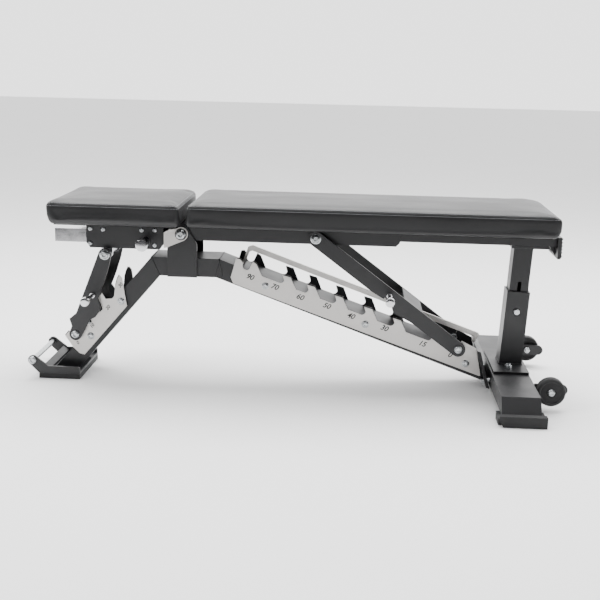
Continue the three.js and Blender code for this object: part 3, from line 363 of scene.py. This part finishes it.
# ------------------------------------------------------------------ mesh code
def turned(bm, profile, x, z, count=48):
    """Rings about an axis along Y. Each step is (radius, y), or (radius, y, True) for a hexagon."""
    rings = []
    for step in profile:
        ring = []
        for i in range(count):
            angle = 2 * math.pi * i / count
            radius = step[0]
            if len(step) > 2:
                radius *= math.cos(math.pi / 6) / math.cos(angle % (math.pi / 3) - math.pi / 6)
            ring.append(bm.verts.new((x + radius * math.cos(angle), step[1], z + radius * math.sin(angle))))
        rings.append(ring)
    join_rings(bm, rings)


def join_rings(bm, rings):
    count = len(rings[0])
    for low, high in zip(rings, rings[1:]):
        for i in range(count):
            j = (i + 1) % count
            bm.faces.new((low[i], low[j], high[j], high[i]))
    bm.faces.new(list(reversed(rings[0])))
    bm.faces.new(rings[-1])


def tube(bm, points, radius, sides=8, closed=False):
    """A round tube along points."""
    rings = []
    count = len(points)
    for i, point in enumerate(points):
        ahead = points[(i + 1) % count] if closed or i < count - 1 else point
        behind = points[i - 1] if closed or i > 0 else point
        run = (ahead - behind).normalized()
        side = run.cross(Vector((0, 0, 1)))
        side = side.normalized() if side.length > 0.01 else Vector((1, 0, 0))
        up = side.cross(run)
        ring = []
        for k in range(sides):
            angle = 2 * math.pi * k / sides
            ring.append(bm.verts.new(point + radius * (side * math.cos(angle) + up * math.sin(angle))))
        rings.append(ring)
    if closed:
        for low, high in zip(rings, rings[1:] + rings[:1]):
            for i in range(sides):
                j = (i + 1) % sides
                bm.faces.new((low[i], low[j], high[j], high[i]))
    else:
        join_rings(bm, rings)


def make_piece(context, name, bm, kind, body, replaces=(), sharp=35):
    """A piece from a bmesh: faces turned outwards, smooth with sharp corners kept, riding on a body."""
    bmesh.ops.recalc_face_normals(bm, faces=bm.faces)
    mesh = bpy.data.meshes.new(name)
    bm.to_mesh(mesh)
    bm.free()
    mesh.shade_smooth()
    mesh.set_sharp_from_angle(angle=math.radians(sharp))
    mesh.materials.append(finish_of(context, kind))
    piece = bpy.data.objects.new(name, mesh)
    context.scene.collection.objects.link(piece)
    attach(piece, body)
    if replaces:
        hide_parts(*replaces)
    return piece


def button_head(bm, x, z, face, sign, radius, height, washer=0.0):
    """A domed socket head that stands on a face at y, with a washer under it."""
    lift = 0.0
    if washer:
        rim = 1.25 * radius
        edge = [(rim, face), (rim, face + washer * 0.8), (rim - washer * 0.3, face + washer)]
        turned(bm, [(r, sign * y) for r, y in edge], x, z)
        lift = washer
    steps = [(1, 0), (1, 0.3), (0.94, 0.55), (0.82, 0.8), (0.66, 0.96), (0.58, 1)]
    profile = [(radius * r, sign * (face + lift + height * h)) for r, h in steps]
    top = face + lift + height
    profile.append((radius * 0.5, sign * (top - 0.02 * height), True))
    profile.append((radius * 0.48, sign * (top - 0.6 * height), True))
    turned(bm, profile, x, z)


def hex_nut(bm, x, z, face, sign, radius, height):
    steps = [
        (radius, face, True),
        (radius, face + 0.85 * height, True),
        (radius * 0.86, face + height),
        (radius * 0.62, face + height),
        (radius * 0.58, face + 0.9 * height),
        (radius * 0.56, face + 1.35 * height),
        (radius * 0.5, face + 1.45 * height),
    ]
    turned(bm, [(step[0], sign * step[1], *step[2:]) for step in steps], x, z)


def box_of(node):
    """The low corner, high corner and centre of a CAD node's box."""
    low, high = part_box(node)
    return low, high, (low + high) / 2


# ------------------------------------------------------------------ operators
class BENCH_OT_finishes(bpy.types.Operator):
    """Give every CAD node its procedural finish"""

    bl_idname = "bench.finishes"
    bl_label = "Finishes"

    def execute(self, context):
        slots = {entry["node"]: entry["material_slot"] for entry in frame["record"]["subparts"]}
        for name, node in NODES.items():
            node.data.materials.clear()
            node.data.materials.append(finish_of(context, SLOT_FINISH[slots[name]]))
        return {"FINISHED"}


PAD_ROOM = 1.5 * MM
PAD_HELD = 9 * MM  # how much of a pad's foot the swelling can't move
PAD_VOXEL = 6 * MM


def pad_skin(context, node, name):
    """The pad's closed cover: the CAD solid's outer shape, shrunk, remeshed, swelled by cloth
    pressure with its underside held, and smoothed."""
    sizes = context.scene.bench_sizes
    low, high, centre = box_of(node)
    half = (high - low) / 2
    bm = bmesh.new()
    for vertex in NODES[node].data.vertices:
        bm.verts.new(vertex.co)
    bmesh.ops.remove_doubles(bm, verts=bm.verts, dist=0.05 * MM)
    hull = bmesh.ops.convex_hull(bm, input=bm.verts)
    inside = [g for g in hull["geom_interior"] if isinstance(g, bmesh.types.BMVert)]
    bmesh.ops.delete(bm, geom=inside, context="VERTS")
    scale = [1 - sizes.shrink / part for part in half]
    for vertex in bm.verts:
        offset = vertex.co - centre
        vertex.co = centre + Vector([offset[i] * scale[i] for i in range(3)])
    mesh = bpy.data.meshes.new(name)
    bm.to_mesh(mesh)
    bm.free()
    piece = bpy.data.objects.new(name, mesh)
    context.scene.collection.objects.link(piece)
    remesh = piece.modifiers.new("remesh", "REMESH")
    remesh.mode = "VOXEL"
    remesh.voxel_size = PAD_VOXEL
    round_off = piece.modifiers.new("round", "SMOOTH")
    round_off.factor = 0.5
    round_off.iterations = 8
    bake(context, piece)
    floor = low.z + sizes.shrink
    start = [vertex.co.copy() for vertex in piece.data.vertices]
    held = piece.vertex_groups.new(name="held")
    held.add([v.index for v in piece.data.vertices if v.co.z < floor + PAD_HELD], 1, "REPLACE")
    cloth = piece.modifiers.new("cloth", "CLOTH")
    cloth.settings.use_pressure = True
    cloth.settings.uniform_pressure_force = 4
    cloth.settings.vertex_group_mass = "held"
    cloth.settings.effector_weights.gravity = 0
    for number in range(1, 17):
        context.scene.frame_set(number)
    bake(context, piece)
    context.scene.frame_set(1)
    for vertex, before in zip(piece.data.vertices, start):
        move = vertex.co - before
        if move.length > sizes.swell:
            vertex.co = before + move.normalized() * sizes.swell
    settle(piece, low, high)
    fine = piece.modifiers.new("fine", "SUBSURF")
    fine.levels = fine.render_levels = 1
    bake(context, piece)
    settle(piece, low, high)
    piece.data.shade_smooth()
    piece.data.materials.clear()
    piece.data.materials.append(finish_of(context, "vinyl"))
    return piece


def settle(piece, low, high):
    """Keep a pad in its CAD box, with a little more room at its sides and top."""
    for vertex in piece.data.vertices:
        for axis, room in enumerate((0, PAD_ROOM, PAD_ROOM)):
            least, most = low[axis] + 0.1 * MM, high[axis] + room
            vertex.co[axis] = min(max(vertex.co[axis], least), most)


def bake(context, piece):
    """Apply the modifiers of a piece to its mesh."""
    context.view_layer.update()
    shape = bpy.data.meshes.new_from_object(piece.evaluated_get(context.evaluated_depsgraph_get()))
    piece.modifiers.clear()
    old = piece.data
    piece.data = shape
    shape.name = piece.name
    bpy.data.meshes.remove(old)


def seam_route(piece, low, high, height, corner=0.028, step=0.0022):
    """Points round a pad at a height, each on its cover, found by looking inwards from outside."""
    tree = BVHTree.FromPolygons(
        [v.co for v in piece.data.vertices], [p.vertices for p in piece.data.polygons]
    )
    out = 0.02
    points = []
    half_x = (high.x - low.x) / 2 - corner
    half_y = (high.y - low.y) / 2 - corner
    centre = (low + high) / 2
    reach = corner + out
    corners = [(1, 1, 0), (-1, 1, 90), (-1, -1, 180), (1, -1, 270)]
    for index, (sx, sy, start) in enumerate(corners):
        arc_steps = max(6, int(reach * math.pi / 2 / step))
        for i in range(arc_steps):
            angle = math.radians(start + 90 * i / arc_steps)
            outward = Vector((math.cos(angle), math.sin(angle), 0))
            origin = Vector((centre.x + sx * half_x, centre.y + sy * half_y, height)) + outward * reach
            points.append((origin, outward))
        angle = math.radians(start + 90)
        outward = Vector((math.cos(angle), math.sin(angle), 0))
        nx, ny = corners[(index + 1) % 4][:2]
        begin = Vector((centre.x + sx * half_x, centre.y + sy * half_y, height)) + outward * reach
        end = Vector((centre.x + nx * half_x, centre.y + ny * half_y, height)) + outward * reach
        line_steps = int((end - begin).length / step)
        for i in range(line_steps):
            points.append((begin.lerp(end, i / line_steps), outward))
    route = []
    for origin, outward in points:
        hit, normal, _, _ = tree.ray_cast(origin, -outward, 0.1)
        if hit is not None:
            route.append((hit, normal))
    if len(route) < 0.9 * len(points):
        raise RuntimeError("the seam missed its pad")
    return route


def stitches(bm, route, length, pitch, radius):
    """Short threads laid along a route, each bowed out of the cover."""
    since = pitch
    for (here, normal), (ahead, _) in zip(route, route[1:] + route[:1]):
        gap = (ahead - here).length
        since += gap
        if since < pitch or gap < 1e-6:
            continue
        since = 0.0
        run = (ahead - here).normalized()
        bow = [(-0.5, -0.4), (-0.3, 0.5), (0, 0.8), (0.3, 0.5), (0.5, -0.4)]
        tube(bm, [here + run * (length * a) + normal * (radius * b) for a, b in bow], radius, 6)


def build_pad(context, node, name, body):
    sizes = context.scene.bench_sizes
    low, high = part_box(node)
    piece = pad_skin(context, node, name)
    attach(piece, body)
    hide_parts(node)
    height = high.z - sizes.seam_drop
    route = seam_route(piece, low, high, height)
    bm = bmesh.new()
    tube(bm, [hit - normal * (sizes.seam_radius * 0.7) for hit, normal in route], sizes.seam_radius, 8, True)
    make_piece(context, name + "_welt", bm, "vinyl", body)
    bm = bmesh.new()
    for shift in (-3.4 * MM, 3.4 * MM):
        stitch_route = seam_route(piece, low, high, height + shift)
        stitches(bm, stitch_route, sizes.stitch, sizes.stitch_gap, 0.55 * MM)
    make_piece(context, name + "_stitching", bm, "thread", body)
    inset = 16 * MM
    bm = bmesh.new()
    start, end = low.x + inset * 1.6, high.x - inset * 1.2
    backing_sheet(bm, (start, end), (low.y + inset, high.y - inset), low.z)
    make_piece(context, name + "_backing", bm, "backing", body)
    return piece


def backing_sheet(bm, xs, ys, level):
    """Cloth pulled flat under a pad, with small puckers at its staples."""
    columns = max(8, int((xs[1] - xs[0]) / 0.02))
    rows = 14
    layers = []
    for drop in (0.05 * MM, 0.25 * MM):
        grid = []
        for i in range(columns + 1):
            line = []
            for j in range(rows + 1):
                edge = min(i, columns - i, j, rows - j) == 0
                pucker = 0.12 * MM if edge and (i + j) % 2 else 0
                x = xs[0] + (xs[1] - xs[0]) * i / columns
                y = ys[0] + (ys[1] - ys[0]) * j / rows
                line.append(bm.verts.new((x, y, level - drop - pucker)))
            grid.append(line)
        layers.append(grid)
        for i in range(columns):
            for j in range(rows):
                bm.faces.new((grid[i][j], grid[i + 1][j], grid[i + 1][j + 1], grid[i][j + 1]))
    top, under = layers
    rim = [(i, 0) for i in range(columns)] + [(columns, j) for j in range(rows)]
    rim += [(i, rows) for i in range(columns, 0, -1)] + [(0, j) for j in range(rows, 0, -1)]
    for (i, j), (k, m) in zip(rim, rim[1:] + rim[:1]):
        bm.faces.new((top[i][j], top[k][m], under[k][m], under[i][j]))


class BENCH_OT_seat_pad(bpy.types.Operator):
    """Build the seat pad's cover, welt, stitching and backing"""

    bl_idname = "bench.seat_pad"
    bl_label = "Seat pad"

    def execute(self, context):
        build_pad(context, "seat_pad", "seat_cushion", "carriage")
        return {"FINISHED"}


class BENCH_OT_back_pad(bpy.types.Operator):
    """Build the back pad's cover, welt, stitching and backing"""

    bl_idname = "bench.back_pad"
    bl_label = "Back pad"

    def execute(self, context):
        build_pad(context, "back_pad", "back_cushion", "back")
        return {"FINISHED"}


class BENCH_OT_wheels(bpy.types.Operator):
    """Build the wheels with a rounded, grooved tread and a recessed hub"""

    bl_idname = "bench.wheels"
    bl_label = "Wheels"

    def execute(self, context):
        for side, _ in SIDES:
            node = f"wheel_{side}"
            low, high, centre = box_of(node)
            radius = (high.z - low.z) / 2
            half = (high.y - low.y) / 2
            bm = bmesh.new()
            outer = []
            for step in range(9):
                turn = math.pi / 2 * step / 8
                outer.append((radius - 5 * MM * (1 - math.cos(turn)), half - 5 * MM * (1 - math.sin(turn))))
            face = [(r, y) for r, y in outer]
            face += [(radius - 8 * MM, half - 0.2 * MM), (radius - 10 * MM, half - 2.6 * MM)]
            face += [(17 * MM, half - 2.8 * MM), (15 * MM, half - 3 * MM), (6.6 * MM, half - 3 * MM)]
            profile = [(r, centre.y - y) for r, y in reversed(face)]
            for groove in (-6, 0, 6):
                y = centre.y + groove * MM
                profile += [(radius, y - 0.9 * MM), (radius - 0.9 * MM, y), (radius, y + 0.9 * MM)]
            profile += [(r, centre.y + y) for r, y in face]
            turned(bm, profile, centre.x, centre.z, 72)
            make_piece(context, f"tyre_{side}", bm, "rubber", f"wheel_{side}", (node,))
        return {"FINISHED"}


# CAD node, its body, then the head's radius, the head's height and the washer's thickness in millimetres
THROUGH_BOLTS = (
    ("pivot_bolt", "base", 13.5, 8.5, 2.4),
    ("back_strut_bolt", "back_strut", 11.0, 6.8, 1.4),
    ("seat_strut_bolt", "seat_strut", 11.0, 6.8, 1.4),
)


class BENCH_OT_bolts(bpy.types.Operator):
    """Build the through bolts, strut pins and axle bolts with socket heads, washers and nuts"""

    bl_idname = "bench.bolts"
    bl_label = "Bolts and pins"

    def execute(self, context):
        for node, body, head, height, washer in THROUGH_BOLTS:
            low, high, centre = box_of(node)
            face = high.y - (height + washer) * MM - 0.5 * MM
            bm = bmesh.new()
            turned(bm, [(8 * MM, -face), (8 * MM, face)], centre.x, centre.z)
            if body != "base":
                gap = (50.5 if node.startswith("back") else 44.5) * MM
                for _, sign in SIDES:
                    collar = [(12.5 * MM, sign * gap), (12.5 * MM, sign * (STRUT_FACE - 6 * MM))]
                    turned(bm, collar, centre.x, centre.z)
            black = node == "pivot_bolt"
            lift = face + washer * MM
            for _, sign in SIDES:
                if black:
                    button_head(bm, centre.x, centre.z, lift, sign, head * MM, height * MM)
                else:
                    button_head(bm, centre.x, centre.z, face, sign, head * MM, height * MM, washer * MM)
            make_piece(context, node + "_detail", bm, "zinc", body, (node,))
            if black:
                self.black_washers(context, centre, face, washer * MM)
        for strut in ("back_strut", "seat_strut"):
            for side, sign in SIDES:
                node = f"{strut}_pin_{side}"
                low, high, centre = box_of(node)
                inner = min(abs(low.y), abs(high.y))
                bm = bmesh.new()
                ends = [(7.9 * MM, sign * inner), (8.5 * MM, sign * (inner + 0.6 * MM))]
                turned(bm, ends + [(8.5 * MM, sign * STRUT_FACE)], centre.x, centre.z)
                button_head(bm, centre.x, centre.z, STRUT_FACE + 0.3 * MM, sign, 10.8 * MM, 6.6 * MM)
                make_piece(context, node + "_detail", bm, "zinc", strut, (node,))
        for side, sign in SIDES:
            node = f"axle_bolt_{side}"
            low, high, centre = box_of(node)
            inner, outer = sorted((abs(low.y), abs(high.y)))
            bm = bmesh.new()
            axle = [(6 * MM, sign * (inner + 2 * MM)), (6 * MM, sign * (outer - 4 * MM))]
            turned(bm, axle, centre.x, centre.z)
            button_head(bm, centre.x, centre.z, outer - 6 * MM, sign, 9.5 * MM, 5.5 * MM)
            hex_nut(bm, centre.x, centre.z, -(inner + 8 * MM), -sign, 9 * MM, 5.4 * MM)
            make_piece(context, node + "_detail", bm, "zinc", "base", (node,))
        return {"FINISHED"}

    @staticmethod
    def black_washers(context, centre, face, thick):
        """The nylon washers under the main pivot's heads."""
        bm = bmesh.new()
        for _, sign in SIDES:
            rim = [(15, 0.1 * MM), (15.8, 0.5 * MM), (15.8, thick - 0.5 * MM), (15, thick)]
            turned(bm, [(r * MM, sign * (face + y)) for r, y in rim], centre.x, centre.z)
        make_piece(context, "pivot_washers", bm, "plastic", "base")


class BENCH_OT_handles(bpy.types.Operator):
    """Build the strut handles, the pop pin and the lift bar"""

    bl_idname = "bench.handles"
    bl_label = "Handles"

    def execute(self, context):
        for strut in ("back_strut", "seat_strut"):
            node = strut + "_handle"
            low, high, centre = box_of(node)
            bm = bmesh.new()
            start, end = high.y, low.y
            rod = [(5.2, start), (5.2, start - 1 * MM), (4.4, start - 1.5 * MM), (4.4, end + 12 * MM)]
            turned(bm, [(r * MM, y) for r, y in rod], centre.x, centre.z, 32)
            hex_nut(bm, centre.x, centre.z, -start, -1, 8.4 * MM, 5.5 * MM)
            knob = [(7, 13), (11, 12.6), (12, 11.6), (12, 3), (11.6, 1.4), (10.6, 0.6), (9, 0.1), (4, 0.05)]
            turned(bm, [(r * MM, end + y * MM) for r, y in knob], centre.x, centre.z)
            make_piece(context, node + "_detail", bm, "chrome", strut, (node,))
        low, high, centre = box_of("pop_pin")
        radius = (high.z - low.z) / 2
        bm = bmesh.new()
        rim = [(4.2, high.y), (4.2, -41 * MM), (6.4, -42 * MM), (6.4, low.y + 24.6 * MM)]
        turned(bm, [(r * MM, y) for r, y in rim], centre.x, centre.z)
        knob = [(9, 24), (12, 23.5), (13, 22.5), (13.2, 15), (15.4, 13.2)]
        knob += [(radius / MM, 12), (radius / MM, 2.2)]
        knob += [(radius / MM - 0.6, 1), (radius / MM - 1.8, 0.3), (radius / MM - 4, 0.05)]
        turned(bm, [(r * MM, low.y + y * MM) for r, y in knob], centre.x, centre.z, 64)
        make_piece(context, "pop_pin_detail", bm, "chrome", "pop_pin", ("pop_pin",))
        low, high, centre = box_of("lift_bar")
        inner = high.y - 12.5 * MM
        bm = bmesh.new()
        turned(bm, [(7 * MM, -inner), (7 * MM, inner)], centre.x, centre.z)
        for _, sign in SIDES:
            stub = [(5.9 * MM, sign * (inner - MM)), (5.9 * MM, sign * (high.y - 3 * MM))]
            turned(bm, stub, centre.x, centre.z)
            button_head(bm, centre.x, centre.z, high.y - 6 * MM, sign, 10.8 * MM, 5.9 * MM)
        make_piece(context, "lift_bar_detail", bm, "zinc", "base", ("lift_bar",))
        return {"FINISHED"}


BACK_GUARD_BOLTS = ((140, -21), (426, -20), (715, -21))
SEAT_GUARD_BOLTS = ((-147, -17), (-278, -17))
CARRIAGE_SCREWS = ((-247, 5), (-248, -35), (-212, 4), (-108, 5), (-73, 6), (-73, -35))


class BENCH_OT_screws(bpy.types.Operator):
    """Build the guard bolts, carriage screws, and the studs and nuts on the post's base plate"""

    bl_idname = "bench.screws"
    bl_label = "Screws and nuts"

    def execute(self, context):
        places = [on_tube(SPINE, u, v) for u, v in BACK_GUARD_BOLTS]
        places += [on_tube(LEG, u, v) for u, v in SEAT_GUARD_BOLTS]
        bm = bmesh.new()
        for _, sign in SIDES:
            for place in places:
                button_head(bm, place.x, place.z, GUARD_FACE + 0.05 * MM, sign, 8 * MM, 3.4 * MM, 0.8 * MM)
        make_piece(context, "guard_bolts", bm, "zinc", "base")
        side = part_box("seat_carriage")[1].y
        bm = bmesh.new()
        for _, sign in SIDES:
            for x, z in CARRIAGE_SCREWS:
                centre = (PIVOT.x + x * MM, PIVOT.z + z * MM)
                button_head(bm, *centre, side + 0.05 * MM, sign, 5.8 * MM, 3 * MM)
        make_piece(context, "carriage_screws", bm, "zinc", "carriage")
        low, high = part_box("post_base_plate")
        bm = bmesh.new()
        for _, sign in SIDES:
            hex_nut(bm, 0, 0, 0, 1, 10 * MM, 9 * MM)
            turn = Matrix.Rotation(math.radians(90), 4, "X")
            new = [v for v in bm.verts if not v.tag]
            place = Matrix.Translation(((low.x + high.x) / 2 - 4 * MM, sign * 62 * MM, high.z + 0.05 * MM))
            bmesh.ops.transform(bm, matrix=place @ turn, verts=new)
            for vertex in new:
                vertex.tag = True
        make_piece(context, "post_base_nuts", bm, "zinc", "base")
        return {"FINISHED"}


# Each mark's text, its distance along the tube and its height above the tube's face, in millimetres
BACK_MARKS = (
    ("90", 93, -13),
    ("70", 164, -14),
    ("60", 237, -15),
    ("50", 312, -11),
    ("40", 382, -13),
    ("30", 477, -11),
    ("15", 587, -13),
    ("0", 667, -14),
)
SEAT_MARKS = (("0", -318, -3), ("10", -254, -2), ("20", -185, -2), ("30", -114, 12))


class BENCH_OT_numbers(bpy.types.Operator):
    """Print the angle numbers on the ladder guards"""

    bl_idname = "bench.numbers"
    bl_label = "Angle numbers"

    def execute(self, context):
        height = context.scene.bench_sizes.number
        for side, sign in SIDES:
            for ladder, tube_line, marks, size in (
                ("back", SPINE, BACK_MARKS, 1),
                ("seat", LEG, SEAT_MARKS, 0.65),
            ):
                bm = bmesh.new()
                for text, along, above in marks:
                    spot = on_tube(tube_line, along, above, sign * (GUARD_FACE + 0.12 * MM))
                    self.write(context, bm, text, spot, sign, -tube_line[1], height * size)
                make_piece(context, f"{ladder}_numbers_{side}", bm, "ink", "base")
        return {"FINISHED"}

    @staticmethod
    def write(context, bm, text, spot, sign, slope, height):
        curve = bpy.data.curves.new("number", "FONT")
        curve.body = text
        curve.size = height
        curve.shear = 0.25
        curve.offset = height * 0.022
        curve.extrude = 0.08 * MM
        curve.align_x = "CENTER"
        curve.align_y = "CENTER"
        writer = bpy.data.objects.new("number", curve)
        context.scene.collection.objects.link(writer)
        context.view_layer.update()
        shape = bpy.data.meshes.new_from_object(writer.evaluated_get(context.evaluated_depsgraph_get()))
        upright = Matrix.Rotation(math.radians(90), 4, "X")
        lean = Matrix.Rotation(-slope, 4, "Y")
        facing = Matrix.Identity(4) if sign < 0 else Matrix.Rotation(math.pi, 4, "Z")
        place = Matrix.Translation(spot) @ lean @ facing @ upright
        shape.transform(place)
        bm.from_mesh(shape)
        bpy.data.objects.remove(writer)
        bpy.data.meshes.remove(shape)


class BENCH_OT_welds(bpy.types.Operator):
    """Lay weld beads where the tubes and brackets meet"""

    bl_idname = "bench.welds"
    bl_label = "Welds"

    def execute(self, context):
        radius = context.scene.bench_sizes.weld
        low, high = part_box("post_sleeve")
        plate_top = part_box("post_base_plate")[1].z
        half_frame = TOP_HIGH.y
        bm = bmesh.new()
        foot = Vector(((low.x + low.x + (high.y - low.y)) / 2, 0, plate_top + radius * 0.5))
        side = (high.y - low.y) / 2
        ring = [(-side, -side), (side, -side), (side, side), (-side, side)]
        self.bead(bm, [foot + Vector((x, y, 0)) for x, y in ring + ring[:1]], radius)
        mitres = (
            (Vector((TOP_LOW.x, 0, TOP_HIGH.z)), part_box("front_leg_tube")[1].x),
            (Vector((TOP_HIGH.x, 0, TOP_HIGH.z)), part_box("rear_spine_tube")[0].x + 17.5 * MM),
        )
        for top, low_x in mitres:
            for _, sign in SIDES:
                y = sign * (half_frame + 0.2 * MM)
                start = Vector((top.x, y, top.z))
                end = Vector((low_x, y, TOP_LOW.z))
                self.bead(bm, [start, end], radius * 0.6)
            level = top.z + 0.1 * MM
            across = [Vector((top.x, y, level)) for y in (-half_frame, half_frame)]
            self.bead(bm, across, radius * 0.6)
        make_piece(context, "weld_beads", bm, "paint", "base", sharp=60)
        return {"FINISHED"}

    @staticmethod
    def bead(bm, corners, radius):
        """A rippled bead along corners, thicker where each drop of metal froze."""
        for begin, end in zip(corners, corners[1:]):
            length = (end - begin).length
            count = max(6, int(length / (1.2 * MM)))
            run = (end - begin).normalized()
            side = run.orthogonal().normalized()
            up = run.cross(side)
            rings = []
            for i in range(count + 1):
                ripple = radius * (1 + 0.16 * math.sin(i * 2.2) + 0.05 * math.sin(i * 5.1))
                if i in (0, count):
                    ripple *= 0.4
                point = begin.lerp(end, i / count)
                ring = []
                for k in range(8):
                    angle = 2 * math.pi * k / 8
                    offset = side * math.cos(angle) + up * math.sin(angle)
                    ring.append(bm.verts.new(point + ripple * offset))
                rings.append(ring)
            join_rings(bm, rings)


WORLD_STRENGTH = 3
CAMERA_PLACE = Vector((0.15663, -2.56236, 0.87148))
CAMERA_YAW, CAMERA_PITCH, CAMERA_ROLL = (math.radians(a) for a in (-3.04, 11.13, 1.29))
CAMERA_LENS = 58.06
CAMERA_SHIFT = (-0.0049, -0.0876)


class BENCH_OT_stage(bpy.types.Operator):
    """Set the floor, the lights and the camera"""

    bl_idname = "bench.stage"
    bl_label = "Stage"

    def execute(self, context):
        scene = context.scene
        bm = bmesh.new()
        corners = [(-9, -1.9), (9, -1.9), (9, 16), (-9, 16)]
        bm.faces.new([bm.verts.new((x, y, -0.4 * MM)) for x, y in corners])
        mesh = bpy.data.meshes.new("floor")
        bm.to_mesh(mesh)
        bm.free()
        floor = bpy.data.objects.new("floor", mesh)
        scene.collection.objects.link(floor)
        material, tree, shader, place = new_material("paper_sweep")
        # Matte seamless paper: pale, even, with a faint fibre tone.
        colour = scene.bench_colours.floor
        fibre = noise(tree, place, 300, 3)
        tone = mix(tree, spread(tree, fibre, 0, 1), rgba(colour, 0.985), rgba(colour))
        tree.links.new(tone, shader.inputs["Base Color"])
        shader.inputs["Roughness"].default_value = 0.95
        floor.data.materials.append(material)
        world = bpy.data.worlds.new("studio")
        world.use_nodes = True
        scene.world = world
        tree = world.node_tree
        # A bright wall behind the bench and a soft ceiling, with the room dim on the camera's side.
        around = add_node(tree, "ShaderNodeTexCoord").outputs["Generated"]
        axes = add_node(tree, "ShaderNodeSeparateXYZ", Vector=around).outputs
        back = spread(tree, axes["Y"], 0, 1, -0.1, 0.3)
        ceiling = spread(tree, axes["Z"], 0, 0.35, 0.35, 0.9)
        most = add_node(tree, "ShaderNodeMath", {"operation": "MAXIMUM"}, i0=back, i1=ceiling).outputs[0]
        glow = mix(tree, most, [0.03, 0.03, 0.031, 1], [1, 1, 1, 1])
        seen = add_node(tree, "ShaderNodeLightPath").outputs["Is Camera Ray"]
        shown = mix(tree, seen, glow, [0.82, 0.82, 0.82, 1])
        tree.links.new(shown, tree.nodes["Background"].inputs["Color"])
        tree.nodes["Background"].inputs["Strength"].default_value = WORLD_STRENGTH
        self.light("overhead", (0.0, 0.5, 2.4), (0.0, 0.1, 0), 3.4, 1.6, 150)
        self.light("front_left", (-2.6, -1.6, 2.4), (-0.1, 0, 0.3), 1.2, 1.0, 40)
        self.light("right_rim", (2.8, 0.8, 1.6), (0.1, 0, 0.3), 1.2, 1.0, 30)
        self.camera(scene)
        return {"FINISHED"}

    @staticmethod
    def light(name, place, target, width, height, power):
        data = bpy.data.lights.new(name, "AREA")
        data.shape = "RECTANGLE"
        data.size = width
        data.size_y = height
        data.energy = power
        lamp = bpy.data.objects.new(name, data)
        lamp.location = place
        lamp.rotation_euler = (Vector(target) - Vector(place)).to_track_quat("-Z", "Y").to_euler()
        bpy.context.scene.collection.objects.link(lamp)

    @staticmethod
    def camera(scene):
        data = bpy.data.cameras.new("camera")
        data.lens = CAMERA_LENS
        data.sensor_width = 36
        data.shift_x, data.shift_y = CAMERA_SHIFT
        data.clip_end = 60
        camera = bpy.data.objects.new("camera", data)
        level = math.cos(CAMERA_PITCH)
        ahead = Vector((math.sin(CAMERA_YAW) * level, math.cos(CAMERA_YAW) * level, -math.sin(CAMERA_PITCH)))
        right = Vector((math.cos(CAMERA_YAW), -math.sin(CAMERA_YAW), 0))
        up = right.cross(ahead)
        turned_right = right * math.cos(CAMERA_ROLL) + up * math.sin(CAMERA_ROLL)
        turned_up = up * math.cos(CAMERA_ROLL) - right * math.sin(CAMERA_ROLL)
        axes = Matrix((turned_right, turned_up, -ahead)).transposed()
        camera.matrix_world = Matrix.Translation(CAMERA_PLACE) @ axes.to_4x4()
        scene.collection.objects.link(camera)
        scene.camera = camera


OPERATORS = (
    BENCH_OT_finishes,
    BENCH_OT_seat_pad,
    BENCH_OT_back_pad,
    BENCH_OT_wheels,
    BENCH_OT_bolts,
    BENCH_OT_handles,
    BENCH_OT_screws,
    BENCH_OT_numbers,
    BENCH_OT_welds,
    BENCH_OT_stage,
)


class BENCH_PT_panel(bpy.types.Panel):
    """Lists the bench's settings and its steps"""

    bl_label = "Weight bench"
    bl_idname = "BENCH_PT_panel"
    bl_space_type = "VIEW_3D"
    bl_region_type = "UI"
    bl_category = "Bench"

    def draw(self, context):
        for group in (context.scene.bench_sizes, context.scene.bench_colours):
            for name in group.__annotations__:
                self.layout.prop(group, name)
        for step in OPERATORS:
            self.layout.operator(step.bl_idname)


CLASSES = (BenchColours, BenchSizes, *OPERATORS, BENCH_PT_panel)


def register():
    for kind in CLASSES:
        bpy.utils.register_class(kind)
    bpy.types.Scene.bench_colours = bpy.props.PointerProperty(type=BenchColours)
    bpy.types.Scene.bench_sizes = bpy.props.PointerProperty(type=BenchSizes)


def unregister():
    del bpy.types.Scene.bench_sizes
    del bpy.types.Scene.bench_colours
    for kind in reversed(CLASSES):
        bpy.utils.unregister_class(kind)


def main():
    register()
    for step in OPERATORS:
        group, name = step.bl_idname.split(".")
        getattr(getattr(bpy.ops, group), name)()


if __name__ == "__main__":
    main()
